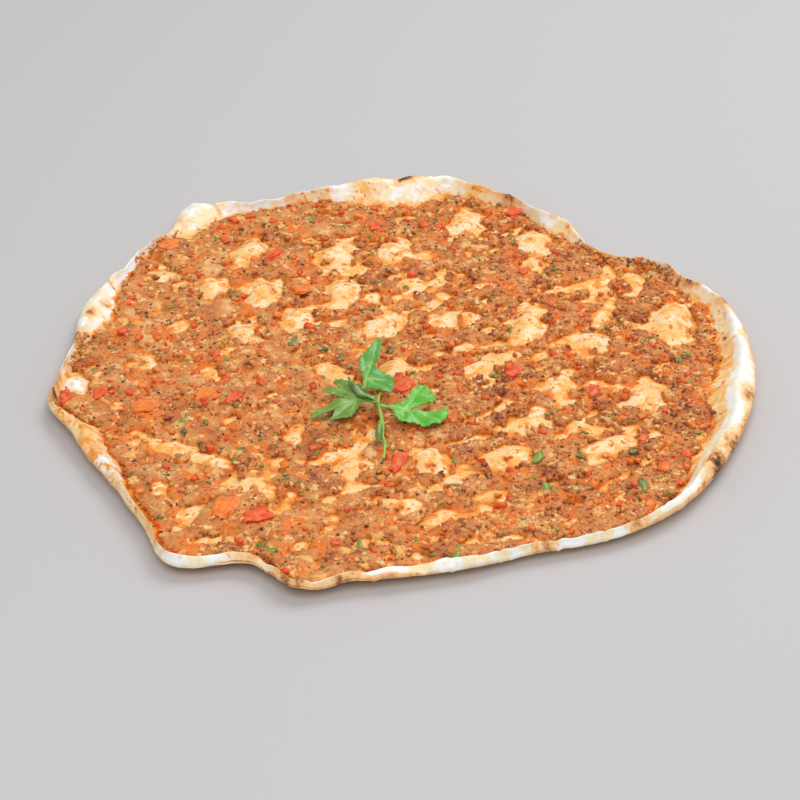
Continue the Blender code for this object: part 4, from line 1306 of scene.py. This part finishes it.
def make_leaflet(plane, outline, ribs, tone):
    height, middle_x, middle_y, rise_x, rise_y = plane
    shape = bmesh.new()
    rib_layer = shape.verts.layers.float.new("rib")
    tone_layer = shape.verts.layers.float.new("tone")
    curve = toothed(smooth_loop(outline, OUTLINE_PARTS))
    loop = [shape.verts.new((point.x, point.y, 0.0)) for point in curve]
    shape.faces.new(loop)
    bmesh.ops.triangulate(shape, faces=shape.faces)
    for axis, normal in enumerate((Vector((1.0, 0.0, 0.0)), Vector((0.0, 1.0, 0.0)))):
        cut = min(point[axis] for point in outline) + LEAF_SPACING / 2
        while cut < max(point[axis] for point in outline):
            bmesh.ops.bisect_plane(shape, geom=shape.verts[:] + shape.edges[:] + shape.faces[:],
                                   plane_co=normal * cut, plane_no=normal, dist=0.0001)
            cut += LEAF_SPACING
    bmesh.ops.remove_doubles(shape, verts=shape.verts, dist=0.05)
    bmesh.ops.recalc_face_normals(shape, faces=shape.faces)
    for vert in shape.verts:
        x, y = vert.co.x, vert.co.y
        rib, away = rib_mask(Vector((x, y)), ribs)
        wave = LEAF_WAVE * math.sin(LEAF_WAVE_X * x) * math.cos(LEAF_WAVE_Y * y)
        wave += uneven([LEAF_LUMPS], x, y)
        arch = LEAF_ARCH * min(away, LEAF_ARCH_REACH) - RIB_GROOVE * rib
        vert.co.z = height + rise_x * (x - middle_x) + rise_y * (y - middle_y) + wave + arch
        vert[rib_layer] = rib
        vert[tone_layer] = tone
    bmesh.ops.solidify(shape, geom=shape.faces[:], thickness=LEAF_THICKNESS)
    bmesh.ops.recalc_face_normals(shape, faces=shape.faces)
    return shape


def make_stalk(path, radius, end_share):
    """A stalk swept along a smooth path, closed at both ends."""
    points = [Vector(point) for point in path]
    curve = []
    for place in range(len(points) - 1):
        near = [points[max(place - 1, 0)], points[place], points[place + 1],
                points[min(place + 2, len(points) - 1)]]
        curve += [between(*near, part / STALK_PARTS) for part in range(STALK_PARTS)]
    curve.append(points[-1])
    shape = bmesh.new()
    ring = set(bmesh.ops.create_circle(shape, segments=STALK_SIDES, radius=1.0)["verts"])
    edges = shape.edges[:]
    here = Vector((0.0, 0.0, 0.0))
    facing = Vector((0.0, 0.0, 1.0))
    size = 1.0
    for place, point in enumerate(curve):
        ahead = curve[min(place + 1, len(curve) - 1)] - curve[max(place - 1, 0)]
        ahead.normalize()
        if place:
            drawn = bmesh.ops.extrude_edge_only(shape, edges=edges)["geom"]
            ring = {part for part in drawn if isinstance(part, bmesh.types.BMVert)}
            edges = [part for part in drawn if isinstance(part, bmesh.types.BMEdge)
                     and all(end in ring for end in part.verts)]
        new_size = radius * (1.0 - (1.0 - end_share) * place / (len(curve) - 1))
        turn = facing.rotation_difference(ahead).to_matrix()
        for vert in ring:
            vert.co = turn @ ((vert.co - here) * (new_size / size)) + point
        here, facing, size = point, ahead, new_size
    bmesh.ops.holes_fill(shape, edges=shape.edges, sides=0)
    bmesh.ops.recalc_face_normals(shape, faces=shape.faces)
    return shape


def make_sprig(leaf_material, stem_material):
    leaves = join([make_leaflet(plane, outline, ribs, tone) for (plane, outline), ribs, tone
                   in zip(LEAFLETS + SMALL_LEAVES, RIBS, LEAF_TONES_AND_FOLD_SHADE)])
    stalks = join([make_stalk(STEM, STEM_RADIUS, 0.65),
                   make_stalk(STALK, STALK_RADIUS, 0.5),
                   make_stalk(TOP_STALK, STALK_RADIUS, 0.5)])
    pieces = (finish_mesh("parsley_leaves", leaves, leaf_material),
              finish_mesh("parsley_stalks", stalks, stem_material))
    for piece in pieces:
        keep_in_box(piece, "parsley_sprig")
    return pieces


# Floor, light and camera, in metres


FLOOR_HALF = 4.0
FLOOR_COLOUR = rgba(0.545, 0.525, 0.525)
SKY_COLOUR = rgba(0.97, 0.985, 1.0)
SKY_STRENGTH = 0.55
# Soft round lights: name, place, width, watts
LIGHTS = [("window", (0.45, 0.55, 1.05), 0.8, 7.0), ("ceiling", (0.02, -0.85, 1.2), 1.1, 8.6)]
SENSOR_WIDTH = 36.0


def make_setting():
    mesh = bpy.data.meshes.new("floor")
    shape = bmesh.new()
    bmesh.ops.create_grid(shape, x_segments=1, y_segments=1, size=FLOOR_HALF)
    shape.to_mesh(mesh)
    shape.free()
    floor = bpy.data.objects.new("floor", mesh)
    bpy.context.scene.collection.objects.link(floor)
    finish = Finish("pale_floor", roughness=0.9, specular=0.1)
    mesh.materials.append(finish.colour(FLOOR_COLOUR))

    world = bpy.data.worlds.new("soft_sky")
    world.use_nodes = True
    world.node_tree.nodes["Background"].inputs["Color"].default_value = SKY_COLOUR
    world.node_tree.nodes["Background"].inputs["Strength"].default_value = SKY_STRENGTH
    bpy.context.scene.world = world

    for name, place, size, power in LIGHTS:
        light = bpy.data.lights.new(name, "AREA")
        light.shape = "DISK"
        light.size = size
        light.energy = power
        lamp = bpy.data.objects.new(name, light)
        lamp.location = place
        lamp.rotation_euler = (-Vector(place)).to_track_quat("-Z", "Y").to_euler()
        bpy.context.scene.collection.objects.link(lamp)

    lens = bpy.data.cameras.new("camera")
    lens.lens = LENS
    lens.sensor_width = SENSOR_WIDTH
    lens.clip_start = 0.01
    camera = bpy.data.objects.new("camera", lens)
    drop = math.radians(VIEW_DROP)
    back = Vector((0.0, -math.cos(drop), math.sin(drop)))
    camera.location = (Vector(VIEW_AIM) + back * VIEW_DISTANCE) * MM
    camera.rotation_euler = (math.radians(90.0 - VIEW_DROP), 0.0, 0.0)
    bpy.context.scene.collection.objects.link(camera)
    bpy.context.scene.camera = camera
    bpy.context.scene.view_settings.view_transform = "Standard"


def place_piece(piece, slot, *nodes):
    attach(piece, "root")
    if nodes:
        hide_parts(*nodes)


def main():
    make_setting()

    place_piece(make_bread(dough_finish()), "dough", "flatbread")

    mince = mince_finish("cooked_mince", 0.48)
    finishes = {
        "mince": mince,
        "red": pepper_finish("red_pepper", rgba(0.66, 0.050, 0.015), rgba(0.88, 0.13, 0.020)),
        "orange": pepper_finish("orange_pepper", rgba(0.80, 0.15, 0.020), rgba(0.90, 0.25, 0.030)),
        "herb": leaf_finish("cooked_herb", [
            (0.0, rgba(0.11, 0.14, 0.026)), (0.5, rgba(0.20, 0.29, 0.044)),
            (1.0, rgba(0.32, 0.47, 0.085))]),
        "onion": plain_finish("onion", rgba(0.88, 0.48, 0.18), rgba(0.90, 0.63, 0.33), 2.0,
                              0.3, 0.2),
        "green_pepper": plain_finish("green_pepper", rgba(0.50, 0.38, 0.07),
                                     rgba(0.56, 0.56, 0.15), 2.0, 0.3, 0.1),
        "char": plain_finish("charred_bits", rgba(0.030, 0.018, 0.012),
                             rgba(0.11, 0.045, 0.025), 0.8, 0.5),
    }
    place_piece(make_sheet(mince), "topping", "meat_topping")
    for piece in make_bits(finishes):
        slot = BIT_SLOTS.get(piece.name.split("_")[0], "topping")
        place_piece(piece, slot, "meat_topping")

    counts = {"red": 0, "orange": 0}
    for place in PEPPERS:
        colour = place[0]
        counts[colour] += 1
        node = f"{colour}_pepper_{counts[colour]}"
        piece = make_pepper(f"{colour}_pepper_piece_{counts[colour]}", place, finishes[colour])
        place_piece(piece, f"{colour}_pepper", node)

    # The lowest greens give the folded-up half its painted shade
    fresh = leaf_finish("fresh_parsley", [
        (0.0, rgba(0.040, 0.105, 0.012)), (0.30, rgba(0.160, 0.300, 0.030)),
        (0.62, rgba(0.075, 0.330, 0.050)), (0.90, rgba(0.095, 0.430, 0.020)),
        (1.0, rgba(0.150, 0.520, 0.060))])
    stem = leaf_finish("parsley_stem", [
        (0.0, rgba(0.28, 0.52, 0.06)), (0.2, rgba(0.38, 0.64, 0.09))])
    leaves, stalks = make_sprig(fresh, stem)
    place_piece(leaves, "parsley", "parsley_sprig")
    place_piece(stalks, "parsley", "parsley_sprig")


main()
